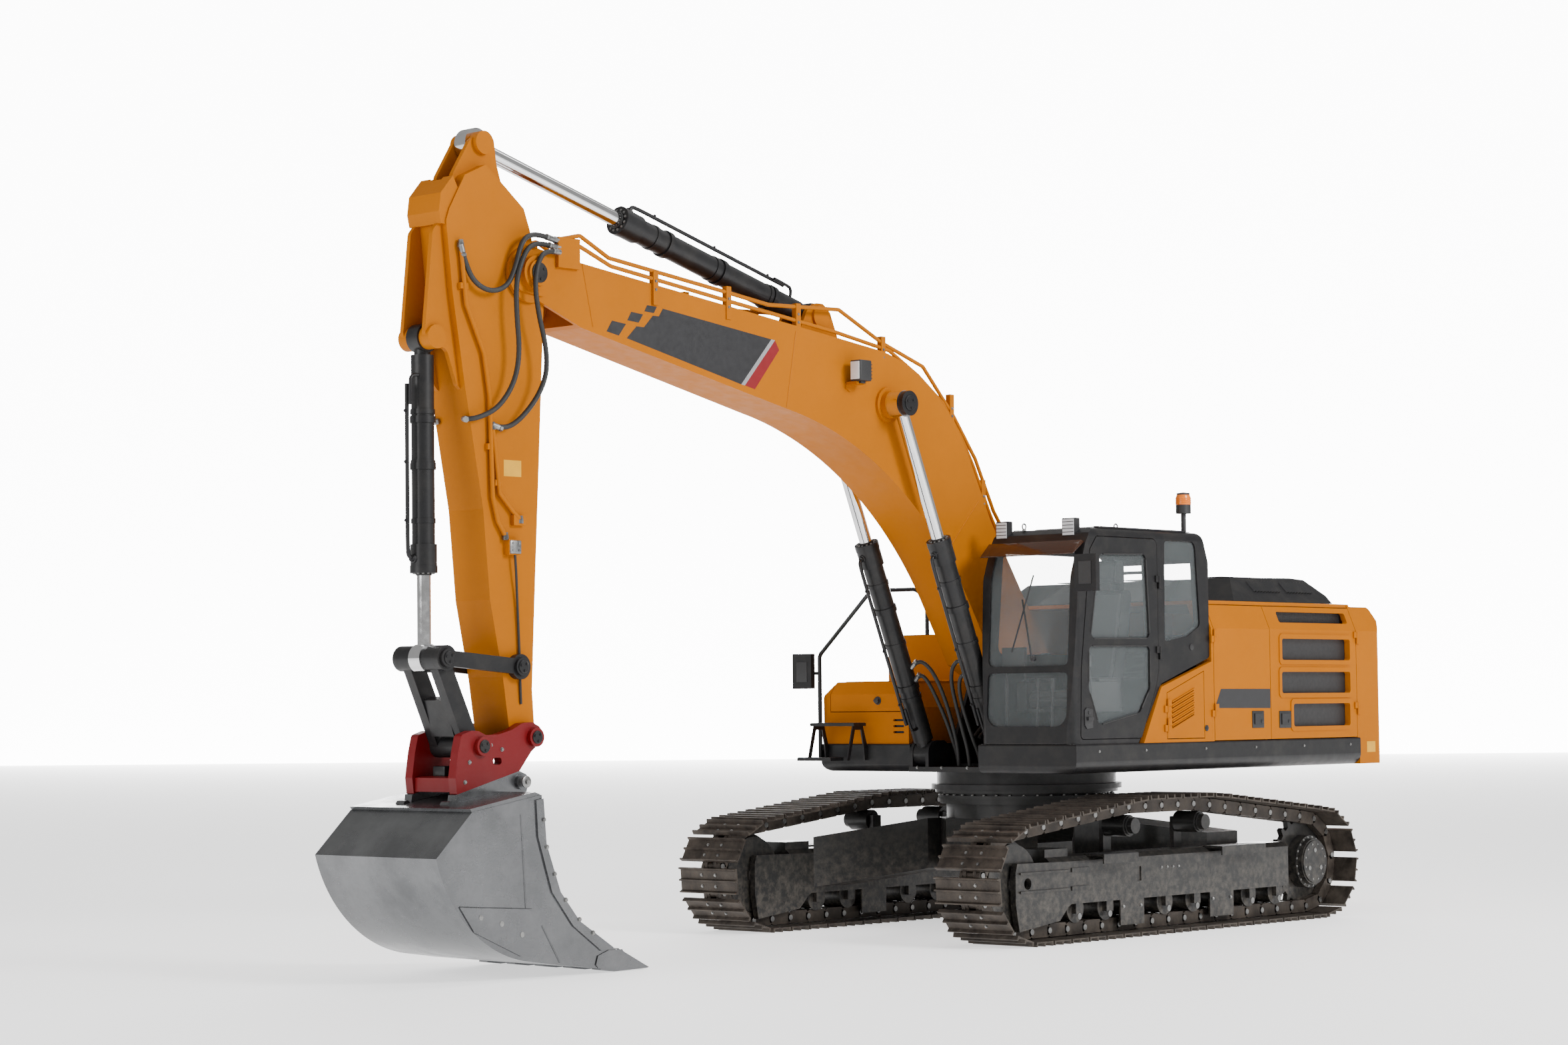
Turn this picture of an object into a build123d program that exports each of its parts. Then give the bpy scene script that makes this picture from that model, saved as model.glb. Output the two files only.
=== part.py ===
from build123d import *
import math
import os

# Crawler excavator, 31 t class, standing with its bucket's teeth on the ground.
# Millimetres. While it is drawn, X points ahead along the boom, Y to the cab's side, Z up,
# and the origin lies on the ground under the swing centre. At export the whole model is
# moved so that the origin is the bottom centre of its box.

# ---------------------------------------------------------------- driving dimensions
TRACK_GAUGE = 2590.0          # between the middles of the two tracks
SHOE_WIDTH = 600.0
SHOE_PITCH = 216.0            # nominal, the loop takes the nearest whole number of shoes
SHOE_PLATE = 12.0
GROUSER_HEIGHT = 25.0
LINK_HEIGHT = 105.0
RAIL_INSIDE = 30.0            # each link rail, from the chain's middle
RAIL_OUTSIDE = 95.0
WHEEL_BASE = 3905.0           # idler axle to sprocket axle
SPROCKET_TEETH = 21           # every other gap takes a link pin
PITCH_RADIUS = SPROCKET_TEETH * SHOE_PITCH / (4 * math.pi)
TOOTH_HEIGHT = 48.0
RAIL_PLAY = 0.5               # between the link rails and what they run on
CARRIER_RADIUS = 83.0
CARRIER_Z = 828.0
CARRIER_PLAY = 8.0            # the chain bends a little over each carrier roller
CARRIER_X = (520.0, -410.0)
ROLLER_RADIUS = 92.0
ROLLER_COUNT = 8
ROLLER_FIRST_X = 1229.0
ROLLER_SPACING = 381.0
FRAME_LOW = 277.0             # track frame's side plates
FRAME_FLOOR = 345.0
FRAME_HIGH = 628.0
FRAME_HALF = 165.0
FRAME_FRONT = 1600.0
FRAME_REAR = TOOTH_HEIGHT + PITCH_RADIUS - WHEEL_BASE / 2 - 10   # clear of the sprocket's teeth
FORK_INSIDE = 115.0           # the idler's and the sprocket's side plates
DRIVE_OUT = 165.0             # drive cover, outwards from the chain's middle

TOW_EYE_X = 680.0
TOW_EYE_RADIUS = 32.0
TOW_PLATE_LOW = 490.0
TOW_PLATE = 60.0

RING_RADIUS = 765.0
RING_LOW = 1015.0
RING_SPLIT = 1090.0
RUN_GAP = 6.0                 # between parts that swing past each other
PIN_GAP = 0.5                 # side play at a pin joint
SEAT_GAP = 0.3                # between pieces that are bolted or rest on each other

DECK_LOW = 1235.0
DECK_HIGH = 1455.0
DECK_PLATE = 30.0
SKIRT_OUT = 8.0
HOUSE_HALF = 1400.0
HOUSE_FRONT = 1190.0          # ahead of the cab
RIGHT_FRONT = 900.0           # right side deck
NOSE_FRONT = 915.0            # between the decks, under the boom cylinders
BAY_HALF = 465.0              # half width of the open bay under the boom
TAIL_SIDE_X = -2760.0         # where the counterweight begins
TAIL_X = -3260.0
LIFT_EYE_X = TAIL_X + 230
LIFT_EYE_Y = 700.0
LIFT_EYE_RADIUS = 30.0
BODY_HIGH = 2575.0            # top of the side panels
LEAN_Z = 2350.0               # from here the side panels lean inwards
LEAN = 92.0
PANEL_DEPTH = 150.0           # pillars behind the side panels

DOOR_THICK = 45.0
FRONT_PILLAR_X = -634.0
DOOR_SPLIT_X = -1435.0
HINGE_RADIUS = 10.0
HINGE_OUT = 12.0              # hinge axis ahead of the panel's face
HOOD_X = -2660.0
HOOD_RISE = 215.0
HOOD_LIFT = 20.0              # hinge axis above the hood's lower edge

TANK_FRONT = 100.0
TANK_HIGH = 2340.0
BOX_FRONT = 880.0
BOX_HIGH = 1955.0
LID_LOW = 1717.0
TOOL_LID_X = 178.0            # hinge of the storage box's lid
TOOL_LID_Z = BOX_HIGH + 2
MIRROR_OUT = 1645.0
RAIL_RADIUS = 17.0

CAB_IN = BAY_HALF + 3
CAB_OUT = HOUSE_HALF - 15
CAB_FRONT_LOW = 1186.0
CAB_FRONT_HIGH = 1012.0
CAB_REAR = -600.0
CAB_ROOF = 3105.0
CAB_WALL = 60.0
CONSOLE_ROOM = 98.5           # from the seat's consoles to the cab's outer faces
CAB_DOOR_X = 78.0
LOW_DOOR_X = 8.0
GLASS = 6.0

BOOM_HALF = 240.0
BOOM_TIP_HALF = 205.0
BOOM_CYL_Y = 365.0
STICK_HALF = 172.0
FORK_DEPTH = 530.0            # room round the stick's pin in the boom's fork
PIPE_RADIUS = 15.0
BUCKET_HALF = 600.0
BUCKET_WALL = 30.0
HITCH_HALF = 250.0
TOOTH_COUNT = 5

# pins in side view (x, z)
BOOM_FOOT = (120.0, 2000.0)
STICK_PIN = (5630.0, 4715.0)
BOOM_CYL_FOOT = (804.0, 1377.0)
BOOM_CYL_EYE = (1960.0, 4046.0)
ARM_CYL_FOOT = (2600.0, 4680.0)
ARM_CYL_EYE = (5980.0, 5580.0)
BUCKET_PIN = (5669.0, 1577.0)
BUCKET_CYL_FOOT = (6430.0, 4230.0)
LINK_PIN = (6420.0, 2107.0)
SIDE_LINK_PIN = (5756.0, 2050.0)
HITCH_LINK_PIN = (6146.0, 1523.0)

# hydraulic cylinders: barrel radius, rod radius, pin to gland, travel inwards from rest
BOOM_BARREL = (80.0, 50.0, 1803.0, 945.0)
ARM_BARREL = (88.0, 54.0, 2067.0, 1220.0)
BUCKET_BARREL = (76.0, 46.0, 1560.0, 280.0)
EYE_RADIUS_RATIO = 1.25       # eye radius to barrel radius


# ---------------------------------------------------------------- helpers
def side_plane(y):
    """Plane of a side view at width y, its normal towards -Y."""
    return Plane(origin=(0, y, 0), x_dir=(1, 0, 0), z_dir=(0, -1, 0))


def outline(points, radii=None):
    """Closed face from corner points, with its corners rounded where radii are given."""
    if radii is None:
        return make_face(Polyline(*points, close=True))
    return make_face(FilletPolyline(*points, radius=radii, close=True))


def slab(face, y_low, y_high):
    """A side-view face made solid between two widths."""
    return extrude(side_plane(y_high) * face, amount=y_high - y_low)


def plan_slab(face, z_low, z_high):
    """A plan-view face made solid between two heights."""
    return extrude(Plane.XY.offset(z_low) * face, amount=z_high - z_low)


def front_slab(face, x_low, x_high):
    """A face seen from the front, drawn in (y, z), made solid between two lengths."""
    plane = Plane(origin=(x_low, 0, 0), x_dir=(0, 1, 0), z_dir=(1, 0, 0))
    return extrude(plane * face, amount=x_high - x_low)


def block(x_low, x_high, y_low, y_high, z_low, z_high):
    size = (x_high - x_low, y_high - y_low, z_high - z_low)
    middle = ((x_low + x_high) / 2, (y_low + y_high) / 2, (z_low + z_high) / 2)
    return Pos(*middle) * Box(*size)


def cross_pin(point, radius, y_low, y_high):
    """Round bar across the machine, its axis through a side-view point."""
    return slab(Pos(point[0], point[1]) * Circle(radius), y_low, y_high)


def stepped(point, y, side, stations):
    """Round body on a crosswise axis. Stations: from, to (outwards from y), radius."""
    profile = [(stations[0][0], 0)]
    for low, high, radius in stations:
        profile += [(low, radius), (high, radius)]
    profile.append((stations[-1][1], 0))
    place = Plane(origin=(point[0], y, point[1]), x_dir=(0, side, 0), z_dir=(side, 0, 0))
    return revolve(place * outline(profile), axis=Axis((point[0], 0, point[1]), (0, 1, 0)))


def stacked(x, y, stations):
    """Round body on an upright axis. Stations: from height, to height, radius."""
    body = None
    for low, high, radius in stations:
        disc = plan_slab(Pos(x, y) * Circle(radius), low, high)
        body = disc if body is None else body + disc
    return body


def tube_along(points, radius, bend):
    """Round bar that follows corner points with rounded bends."""
    path = FilletPolyline(*points, radius=bend)
    return sweep(Plane(path @ 0, z_dir=path % 0) * Circle(radius), path=path)


def mirrored(shape):
    return mirror(shape, about=Plane.XZ)


def between(side, low, high):
    """Two widths on the left or the right, the lower one first."""
    return tuple(sorted((side * low, side * high)))


def group(parts):
    """Like pieces of one node, as solids that don't touch."""
    return Compound([solid for part in parts for solid in part.solids()])


def angle_of(start, end):
    return math.degrees(math.atan2(end[1] - start[1], end[0] - start[0]))


def span(start, end):
    return math.hypot(end[0] - start[0], end[1] - start[1])


def bar(start, end, y, radius, skip_start=0.0, skip_end=0.0):
    """Round bar in a side-view plane from one point towards another."""
    angle = math.radians(angle_of(start, end))
    heading = (math.cos(angle), 0, math.sin(angle))
    first = (start[0] + heading[0] * skip_start, y, start[1] + heading[2] * skip_start)
    length = span(start, end) - skip_start - skip_end
    return extrude(Plane(origin=first, z_dir=heading) * Circle(radius), amount=length)


def eye(point, radius, y_middle, width):
    return cross_pin(point, radius, y_middle - width / 2, y_middle + width / 2)


def lathe(foot, head, y, stations):
    """Round body on the line from foot to head. Stations: from, to (along the line), radius."""
    angle = math.radians(angle_of(foot, head))
    heading = (math.cos(angle), 0, math.sin(angle))
    profile = [(stations[0][0], 0)]
    for low, high, radius in stations:
        profile += [(low, radius), (high, radius)]
    profile.append((stations[-1][1], 0))
    place = Plane(origin=(foot[0], y, foot[1]), x_dir=heading, z_dir=(0, 1, 0))
    return revolve(place * outline(profile), axis=Axis((foot[0], y, foot[1]), heading))


def barrel(foot, head, y, sizes, eye_width, clamps):
    """Cylinder tube with foot eye, pipe clamps and gland, bored for the rod to slide in."""
    tube, rod, gland, travel = sizes
    stations = [(0.5 * tube, 1.5 * tube, min(tube, eye_width / 2) - 1)]
    reached = 1.5 * tube
    for place in clamps:
        stations += [(reached, place, tube), (place, place + 45, 1.13 * tube)]
        reached = place + 45
    stations += [(reached, gland - 190, tube), (gland - 190, gland - 50, 1.16 * tube),
                 (gland - 50, gland, 1.2 * tube)]
    body = lathe(foot, head, y, stations) + eye(foot, EYE_RADIUS_RATIO * tube, y, eye_width)
    return body - bar(foot, head, y, rod + PIN_GAP, 1.8 * tube, 0)


def rod(foot, head, y, sizes, eye_width):
    """Piston rod with its eye, the hidden end well inside the tube."""
    tube, radius, gland, travel = sizes
    body = bar(foot, head, y, radius, 2.0 * tube + travel, 0.5 * tube)
    return body + eye(head, EYE_RADIUS_RATIO * tube, y, eye_width)


nodes = {}                    # node name -> shape
os.makedirs("parts", exist_ok=True)


# ---------------------------------------------------------------- tracks
AXLE_Z = PITCH_RADIUS + LINK_HEIGHT / 2 + SHOE_PLATE + GROUSER_HEIGHT
AXLE_X = WHEEL_BASE / 2
RAIL_REACH = PITCH_RADIUS * math.cos(2 * math.pi / SPROCKET_TEETH) - LINK_HEIGHT / 2 - RAIL_PLAY


def track_loop():
    """Pitch line of the track as (x, z) corners, finely stepped round its ends."""
    rise = CARRIER_Z + CARRIER_RADIUS + CARRIER_PLAY + LINK_HEIGHT / 2
    front, rear = (AXLE_X, AXLE_Z), (-AXLE_X, AXLE_Z)
    slopes = []
    for wheel, carrier, side in ((front, CARRIER_X[0], 1), (rear, CARRIER_X[1], -1)):
        reach = math.hypot(carrier - wheel[0], rise - wheel[1])
        lift = math.atan2(rise - wheel[1], side * (wheel[0] - carrier))
        slopes.append(math.degrees(lift - math.asin(PITCH_RADIUS / reach)))
    steps = 40
    loop = []
    for step in range(steps + 1):
        turn = math.radians(-90 + (180 - slopes[0]) * step / steps)
        loop.append((front[0] + PITCH_RADIUS * math.cos(turn), front[1] + PITCH_RADIUS * math.sin(turn)))
    loop += [(CARRIER_X[0], rise), (CARRIER_X[1], rise)]
    for step in range(steps + 1):
        turn = math.radians(90 + slopes[1] + (180 - slopes[1]) * step / steps)
        loop.append((rear[0] + PITCH_RADIUS * math.cos(turn), rear[1] + PITCH_RADIUS * math.sin(turn)))
    return loop


def shoe_joints():
    """Link pins spread evenly along the pitch line."""
    loop = track_loop()
    sides = [(loop[i], loop[(i + 1) % len(loop)]) for i in range(len(loop))]
    total = sum(span(*side) for side in sides)
    count = round(total / SHOE_PITCH)
    pins = []
    walked, index = 0.0, 0
    for number in range(count):
        target = total * number / count
        while walked + span(*sides[index]) < target:
            walked += span(*sides[index])
            index += 1
        start, end = sides[index]
        share = (target - walked) / span(start, end)
        pins.append((start[0] + (end[0] - start[0]) * share, start[1] + (end[1] - start[1]) * share))
    return pins


def offset_loop(pins, distance):
    """The pin polygon moved outwards with its sides kept parallel, straight runs as one side."""
    moved = []
    for i, pin in enumerate(pins):
        before, after = pins[i - 1], pins[(i + 1) % len(pins)]
        turn_in, turn_out = angle_of(before, pin), angle_of(pin, after)
        bend = (turn_out - turn_in + 180) % 360 - 180
        if abs(bend) < 0.01:
            continue
        half = math.radians(bend / 2)
        outward = math.radians(turn_in) + half - math.pi / 2
        reach = distance / math.cos(half)
        moved.append((pin[0] + reach * math.cos(outward), pin[1] + reach * math.sin(outward)))
    return moved


def shoe_profile(length):
    """Triple-grouser shoe from the side: along the chain, out from the pitch line."""
    half = length / 2 - 7
    groove = LINK_HEIGHT / 2 + 2
    top = LINK_HEIGHT / 2 + SHOE_PLATE
    tip = top + GROUSER_HEIGHT
    front = [(9, top), (half - 18, top), (half - 14, tip), (half, tip), (half, groove)]
    middle = [(-6, tip), (6, tip)]
    return [(-along, out) for along, out in reversed(front)] + middle + front


def track(side):
    """The whole loop: its shoes as one toothed outline on two link rails."""
    y = side * TRACK_GAUGE / 2
    pins = shoe_joints()
    tread = []
    for i, pin in enumerate(pins):
        after = pins[(i + 1) % len(pins)]
        length = span(pin, after)
        ahead = ((after[0] - pin[0]) / length, (after[1] - pin[1]) / length)
        middle = ((pin[0] + after[0]) / 2, (pin[1] + after[1]) / 2)
        for along, out in shoe_profile(length):
            tread.append((middle[0] + ahead[0] * along + ahead[1] * out,
                          middle[1] + ahead[1] * along - ahead[0] * out))
    shoes = outline(tread) - outline(offset_loop(pins, LINK_HEIGHT / 2 - 4))
    rail = outline(offset_loop(pins, LINK_HEIGHT / 2 - 2)) - outline(offset_loop(pins, -LINK_HEIGHT / 2))
    chain = slab(shoes, y - SHOE_WIDTH / 2, y + SHOE_WIDTH / 2)
    chain += slab(rail, y + RAIL_INSIDE, y + RAIL_OUTSIDE)
    chain += slab(rail, y - RAIL_OUTSIDE, y - RAIL_INSIDE)
    return chain


def toothed_disc():
    """Sprocket ring from the side, a gap at each link pin that lies on it."""
    last = min(shoe_joints())
    first = math.atan2(last[1] - AXLE_Z, last[0] + AXLE_X)
    low, high = PITCH_RADIUS - 30, PITCH_RADIUS - 30 + TOOTH_HEIGHT
    points = []
    for tooth in range(SPROCKET_TEETH):
        for share, radius in ((0.22, low), (0.38, high), (0.62, high), (0.78, low)):
            turn = first + 2 * math.pi * (tooth + share) / SPROCKET_TEETH
            points.append((-AXLE_X + radius * math.cos(turn), AXLE_Z + radius * math.sin(turn)))
    return outline(points)


def carriage(side):
    """Track frame, sprocket, idler and rollers of one side."""
    y = side * TRACK_GAUGE / 2
    half = FRAME_HALF
    fork = FORK_INSIDE
    floor, low, high = FRAME_FLOOR, FRAME_LOW, FRAME_HIGH

    def across(inner, outer):
        return (y + inner, y + outer) if side > 0 else (y - outer, y - inner)

    section = [(-half, low), (-half + 14, low), (-half + 14, floor), (half - 14, floor), (half - 14, low),
               (half, low), (half, high - 35), (half - 45, high), (45 - half, high), (-half, high - 35)]
    beam = front_slab(outline([(y + side * width, z) for width, z in section]), FRAME_REAR, FRAME_FRONT)
    cheek = outline([(1290, low + 24), (1380, 261), (1488, 161), (1973, 104), (2012, 300), (2012, 530),
                     (1990, 602), (1290, high - 36)])
    beam += slab(cheek, *across(-half, -fork)) + slab(cheek, *across(fork, half))
    mount = outline([(FRAME_REAR + 60, low + 24), (FRAME_REAR + 60, high - 30),
                     (-AXLE_X - 20, AXLE_Z + 190), (-AXLE_X - 190, AXLE_Z + 90),
                     (-AXLE_X - 190, AXLE_Z - 90), (-AXLE_X - 20, AXLE_Z - 190)])
    beam += slab(mount, *across(-half, -fork))
    beam += stepped((-AXLE_X, AXLE_Z), y, side, [(-half - 130, -half - 60, 125),
                                                 (-half - 60, -half + 1, 168)])
    beam += block(1320, 1600, *across(-fork, fork), high - 40, high + 60)
    for rib_z in (391, 527):                            # ribs on the idler's box
        beam += block(1374, 1967, *across(half - 1, half + 13), rib_z - 8, rib_z + 8)
    for rib_z in (392, 528):                            # ribs where the box meets the beam
        beam += block(1124, 1345, *across(half - 1, half + 9), rib_z - 16, rib_z + 16)
    for step_low, step_high in ((664, 1102), (-1049, -444)):
        beam += block(step_low, step_high, *across(half - 60, 290), high - 8, high + 8)
        beam += block(step_low, step_high, *across(278, 290), high - 60, high + 8)
    for guard_low, guard_high in ((433, 736), (-768, -444)):
        for wall in ((-half, -half + 14), (half - 14, half)):
            beam += block(guard_low, guard_high, *across(*wall), 85, low + 30)
    for x in CARRIER_X:
        beam += block(x - 50, x + 50, *across(-150, -112), high - 60, CARRIER_Z + 40)
    beam -= block(463, 513, *across(half - 10, half + 1), 411, 521)
    beam -= cross_pin((1870, AXLE_Z), 42, *across(fork - 1, half + 1))
    rollers = []
    for number in range(ROLLER_COUNT):
        x = ROLLER_FIRST_X - ROLLER_SPACING * number
        z = AXLE_Z - PITCH_RADIUS + LINK_HEIGHT / 2 + PIN_GAP + ROLLER_RADIUS
        roller = stepped((x, z), y, side, [(-149, -110, 38), (-110, -98, ROLLER_RADIUS + 12),
                                           (-98, 98, ROLLER_RADIUS), (98, 110, ROLLER_RADIUS + 12),
                                           (110, 149, 38)])
        for wall in ((-149, -113), (113, 149)):
            roller += block(x - 42, x + 42, *across(*wall), z - 34, floor - SEAT_GAP)
        rollers.append(roller)
    for x in CARRIER_X:
        rollers.append(stepped((x, CARRIER_Z), y, side, [
            (-112 + SEAT_GAP, -102, 50), (-102, 102, CARRIER_RADIUS), (102, 118, CARRIER_RADIUS - 12),
            (118, 160, 60)]))
    idler = stepped((AXLE_X, AXLE_Z), y, side, [
        (-fork + SEAT_GAP, -92, 70), (-92, 92, RAIL_REACH), (92, fork - SEAT_GAP, 70)])
    idler += cross_pin((AXLE_X, AXLE_Z), RAIL_REACH + 30, *across(6 - RAIL_INSIDE, RAIL_INSIDE - 6))
    sprocket = slab(toothed_disc(), *across(-22, 22))
    sprocket += stepped((-AXLE_X, AXLE_Z), y, side, [
        (-fork + SEAT_GAP, -60, 150), (-60, 22, 235), (22, 115, 213), (115, DRIVE_OUT - 10, 186),
        (DRIVE_OUT - 10, DRIVE_OUT, 172)])
    return beam, group(rollers), idler, sprocket


def centre_frame():
    """Car body: raised middle box, four legs to the track frames and the ring's seat."""
    inner = TRACK_GAUGE / 2 - FRAME_HALF - SEAT_GAP
    corners = [(600, 350), (350, 620), (-350, 620), (-600, 350), (-600, -350), (-350, -620), (350, -620),
               (600, -350)]
    body = plan_slab(outline(corners), 480, 860)
    body += stacked(0, 0, [(860, RING_LOW - 40, RING_RADIUS - 120),
                           (RING_LOW - 40, RING_LOW, RING_RADIUS - 68)])
    for x_sign in (1, -1):
        for y_sign in (1, -1):
            root = Plane(origin=(x_sign * 340, y_sign * 560, 655), x_dir=(1, 0, 0), z_dir=(0, y_sign, 0))
            tip = Plane(origin=(x_sign * 1105, y_sign * inner, 520), x_dir=(1, 0, 0), z_dir=(0, y_sign, 0))
            body += loft([root * Rectangle(470, 400), tip * Rectangle(430, 400)])
    tow_plate = outline([(500, -110), (TOW_EYE_X + 80, -80), (TOW_EYE_X + 80, 80), (500, 110)],
                        [5, 70, 70, 5])
    body += plan_slab(tow_plate, TOW_PLATE_LOW, TOW_PLATE_LOW + TOW_PLATE)
    return body - Pos(TOW_EYE_X, 0, TOW_PLATE_LOW + TOW_PLATE / 2) * Cylinder(TOW_EYE_RADIUS, 2 * TOW_PLATE)


for name, side in (("left", 1), ("right", -1)):
    nodes["track_" + name] = track(side)
    frame, rollers, idler, sprocket = carriage(side)
    nodes["track_frame_" + name] = frame
    nodes["rollers_" + name] = rollers
    nodes["idler_" + name] = idler
    nodes["sprocket_" + name] = sprocket
nodes["centre_frame"] = centre_frame()
nodes["slewing_ring"] = stacked(0, 0, [(RING_LOW + SEAT_GAP, RING_LOW + 28, RING_RADIUS - 55),
                                       (RING_LOW + 28, RING_LOW + 48, RING_RADIUS - 90),
                                       (RING_LOW + 48, RING_SPLIT - PIN_GAP, RING_RADIUS - 30)])


# ---------------------------------------------------------------- upper structure
LEAN_Y = HOUSE_HALF - LEAN    # side panels' width at their top


def deck_side(side, front):
    """Side deck with its rounded skirt."""
    out = HOUSE_HALF + SKIRT_OUT
    section = outline([(side * BAY_HALF, DECK_LOW), (side * out, DECK_LOW), (side * out, DECK_HIGH),
                       (side * BAY_HALF, DECK_HIGH)], [4, 90, 12, 4])
    profile = outline([(TAIL_SIDE_X, DECK_LOW), (front, DECK_LOW), (front, DECK_HIGH),
                       (TAIL_SIDE_X, DECK_HIGH)],
                      [1, 60, 12, 1])
    return front_slab(section, TAIL_SIDE_X, front) & slab(profile, -2 * HOUSE_HALF, 2 * HOUSE_HALF)


def deck():
    """Swing frame: ring plate, side decks with skirts, boom plates and cylinder ears."""
    body = stacked(0, 0, [(RING_SPLIT, RING_SPLIT + 40, RING_RADIUS), (RING_SPLIT + 40, DECK_LOW + 10,
                                                                     RING_RADIUS - 45)])
    body += deck_side(1, HOUSE_FRONT) + deck_side(-1, RIGHT_FRONT)
    body += block(TAIL_SIDE_X, 560, -BAY_HALF, BAY_HALF, DECK_LOW, DECK_LOW + 2 * DECK_PLATE)
    body += block(500, NOSE_FRONT, -BAY_HALF, BAY_HALF, DECK_LOW, DECK_LOW + DECK_PLATE + 10)
    plate = outline([(620, DECK_LOW + 20), (560, 1500), (330, 2010), (120, 2190), (-120, 2100),
                     (-900, 1800), (-1400, 1500), (-1400, DECK_LOW + 20)],
                    [20, 40, 150, 150, 100, 100, 50, 20])
    inner = BOOM_HALF + 25
    foot_x, foot_z = BOOM_CYL_FOOT
    ear = outline([(540, DECK_LOW), (foot_x + 105, DECK_LOW), (foot_x + 105, foot_z + 105),
                   (foot_x - 105, foot_z + 105), (540, foot_z - 20)], [5, 5, 100, 100, 20])
    for side in (1, -1):
        body += slab(plate, *between(side, inner, inner + 30))
        for y in (BOOM_CYL_Y - 65 - PIN_GAP - 32, BOOM_CYL_Y + 65 + PIN_GAP):
            body += slab(ear, *between(side, y, y + 32))
        body += cross_pin(BOOM_CYL_FOOT, 62, *between(side, BOOM_CYL_Y + 96, BOOM_CYL_Y + 112))
        body += cross_pin(BOOM_FOOT, 150, *between(side, inner + 29, inner + 60))
    return body


nodes["swing_frame"] = deck()


def panel_edge(z):
    """Half width of the house's side panels at a height."""
    return HOUSE_HALF - LEAN * max(0.0, z - LEAN_Z) / (BODY_HIGH - LEAN_Z)


def wall_section(side, depth, low, high, inset=0.0):
    """Side wall from the front: upright, then leaning inwards."""
    outer = [(HOUSE_HALF - inset, low), (HOUSE_HALF - inset, LEAN_Z), (panel_edge(high) - inset, high)]
    inner = [(panel_edge(high) - depth, high), (HOUSE_HALF - depth, LEAN_Z), (HOUSE_HALF - depth, low)]
    return outline([(side * y, z) for y, z in outer + inner])


def body_frame():
    """Pillars and roof plate that carry the side doors and the hood."""
    low = DECK_HIGH + SEAT_GAP
    body = block(TAIL_SIDE_X, FRONT_PILLAR_X + 30, -490, LEAN_Y, BODY_HIGH - 30, BODY_HIGH)
    for x in (TAIL_SIDE_X, FRONT_PILLAR_X):
        body += front_slab(wall_section(1, PANEL_DEPTH, low, BODY_HIGH), x, x + 30)
    return body + front_slab(wall_section(1, PANEL_DEPTH, low, BODY_HIGH, DOOR_THICK + 5),
                             DOOR_SPLIT_X - 15, DOOR_SPLIT_X + 15)


def upright_hinge(x, y_face, heights, heading):
    """Lift-off hinges on a vertical axis: what the door carries, what its post carries."""
    y = y_face + HINGE_OUT
    leaf = HINGE_OUT - HINGE_RADIUS + 12
    door, post = [], []
    for z in heights:
        knuckle = Cylinder(HINGE_RADIUS, 50, align=(Align.CENTER, Align.CENTER, Align.MIN))
        door.append(Pos(x, y, z) * knuckle)
        post.append(Pos(x, y, z - 50 - SEAT_GAP) * knuckle)
        for parts, side, low in ((door, heading, z), (post, -heading, z - 50 - SEAT_GAP)):
            x_low, x_high = sorted((x, x + side * 45))
            parts.append(block(x_low, x_high, y_face, y_face + leaf, low, low + 50))
    return door, post


def level_hinge(x, z, widths, heading):
    """Hinges on a crosswise axis: what the lid carries, what its box carries."""
    lid, box = [], []
    for y in widths:
        lid.append(cross_pin((x, z), HINGE_RADIUS, y, y + 60))
        lid.append(block(*sorted((x, x + heading * 40)), y, y + 60, z - HINGE_RADIUS + 2, z))
        box.append(cross_pin((x, z), HINGE_RADIUS, y - 40 - SEAT_GAP, y - SEAT_GAP))
        box.append(block(x - HINGE_RADIUS, x + HINGE_RADIUS, y - 40 - SEAT_GAP, y - SEAT_GAP,
                         z - HOOD_LIFT - RUN_GAP, z))
    return lid, box


def counterweight():
    """Solid tail: bowed in plan, leaning at its sides, rounded below."""
    front = TAIL_SIDE_X - SEAT_GAP
    side_end, corner = TAIL_X + 235, TAIL_X + 130
    plan = [Line((front, -HOUSE_HALF), (front, HOUSE_HALF)),
            Line((front, HOUSE_HALF), (side_end, HOUSE_HALF))]
    plan.append(ThreePointArc((side_end, HOUSE_HALF), (TAIL_X + 160, HOUSE_HALF - 22),
                              (corner, HOUSE_HALF - 90)))
    plan.append(ThreePointArc((corner, HOUSE_HALF - 90), (TAIL_X, 0), (corner, 90 - HOUSE_HALF)))
    plan.append(ThreePointArc((corner, 90 - HOUSE_HALF), (TAIL_X + 160, 22 - HOUSE_HALF),
                              (side_end, -HOUSE_HALF)))
    plan.append(Line((side_end, -HOUSE_HALF), (front, -HOUSE_HALF)))
    top = BODY_HIGH - 20
    body = plan_slab(make_face(plan), DECK_LOW, top)
    section = outline([(-HOUSE_HALF, DECK_LOW), (HOUSE_HALF, DECK_LOW), (HOUSE_HALF, LEAN_Z),
                       (panel_edge(top), top),
                       (-panel_edge(top), top), (-HOUSE_HALF, LEAN_Z)])
    profile = outline([(front + 5, DECK_LOW), (TAIL_X + 40, DECK_LOW), (TAIL_X, 1412),
                       (TAIL_X + 95, LEAN_Z),
                       (TAIL_X + 210, top), (front + 5, top)], [1, 60, 60, 80, 60, 1])
    body &= front_slab(section, TAIL_X - 10, front)
    body &= slab(profile, -HOUSE_HALF - 1, HOUSE_HALF + 1)
    for y in (-LIFT_EYE_Y, LIFT_EYE_Y):
        lug = outline([(LIFT_EYE_X - 100, top - 1), (LIFT_EYE_X + 100, top - 1),
                       (LIFT_EYE_X + 100, top + 110),
                       (LIFT_EYE_X - 100, top + 110)], [5, 5, 60, 60])
        body += slab(lug, y - 25, y + 25)
        body -= cross_pin((LIFT_EYE_X, top + 50), LIFT_EYE_RADIUS, y - 30, y + 30)
    return body


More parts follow.
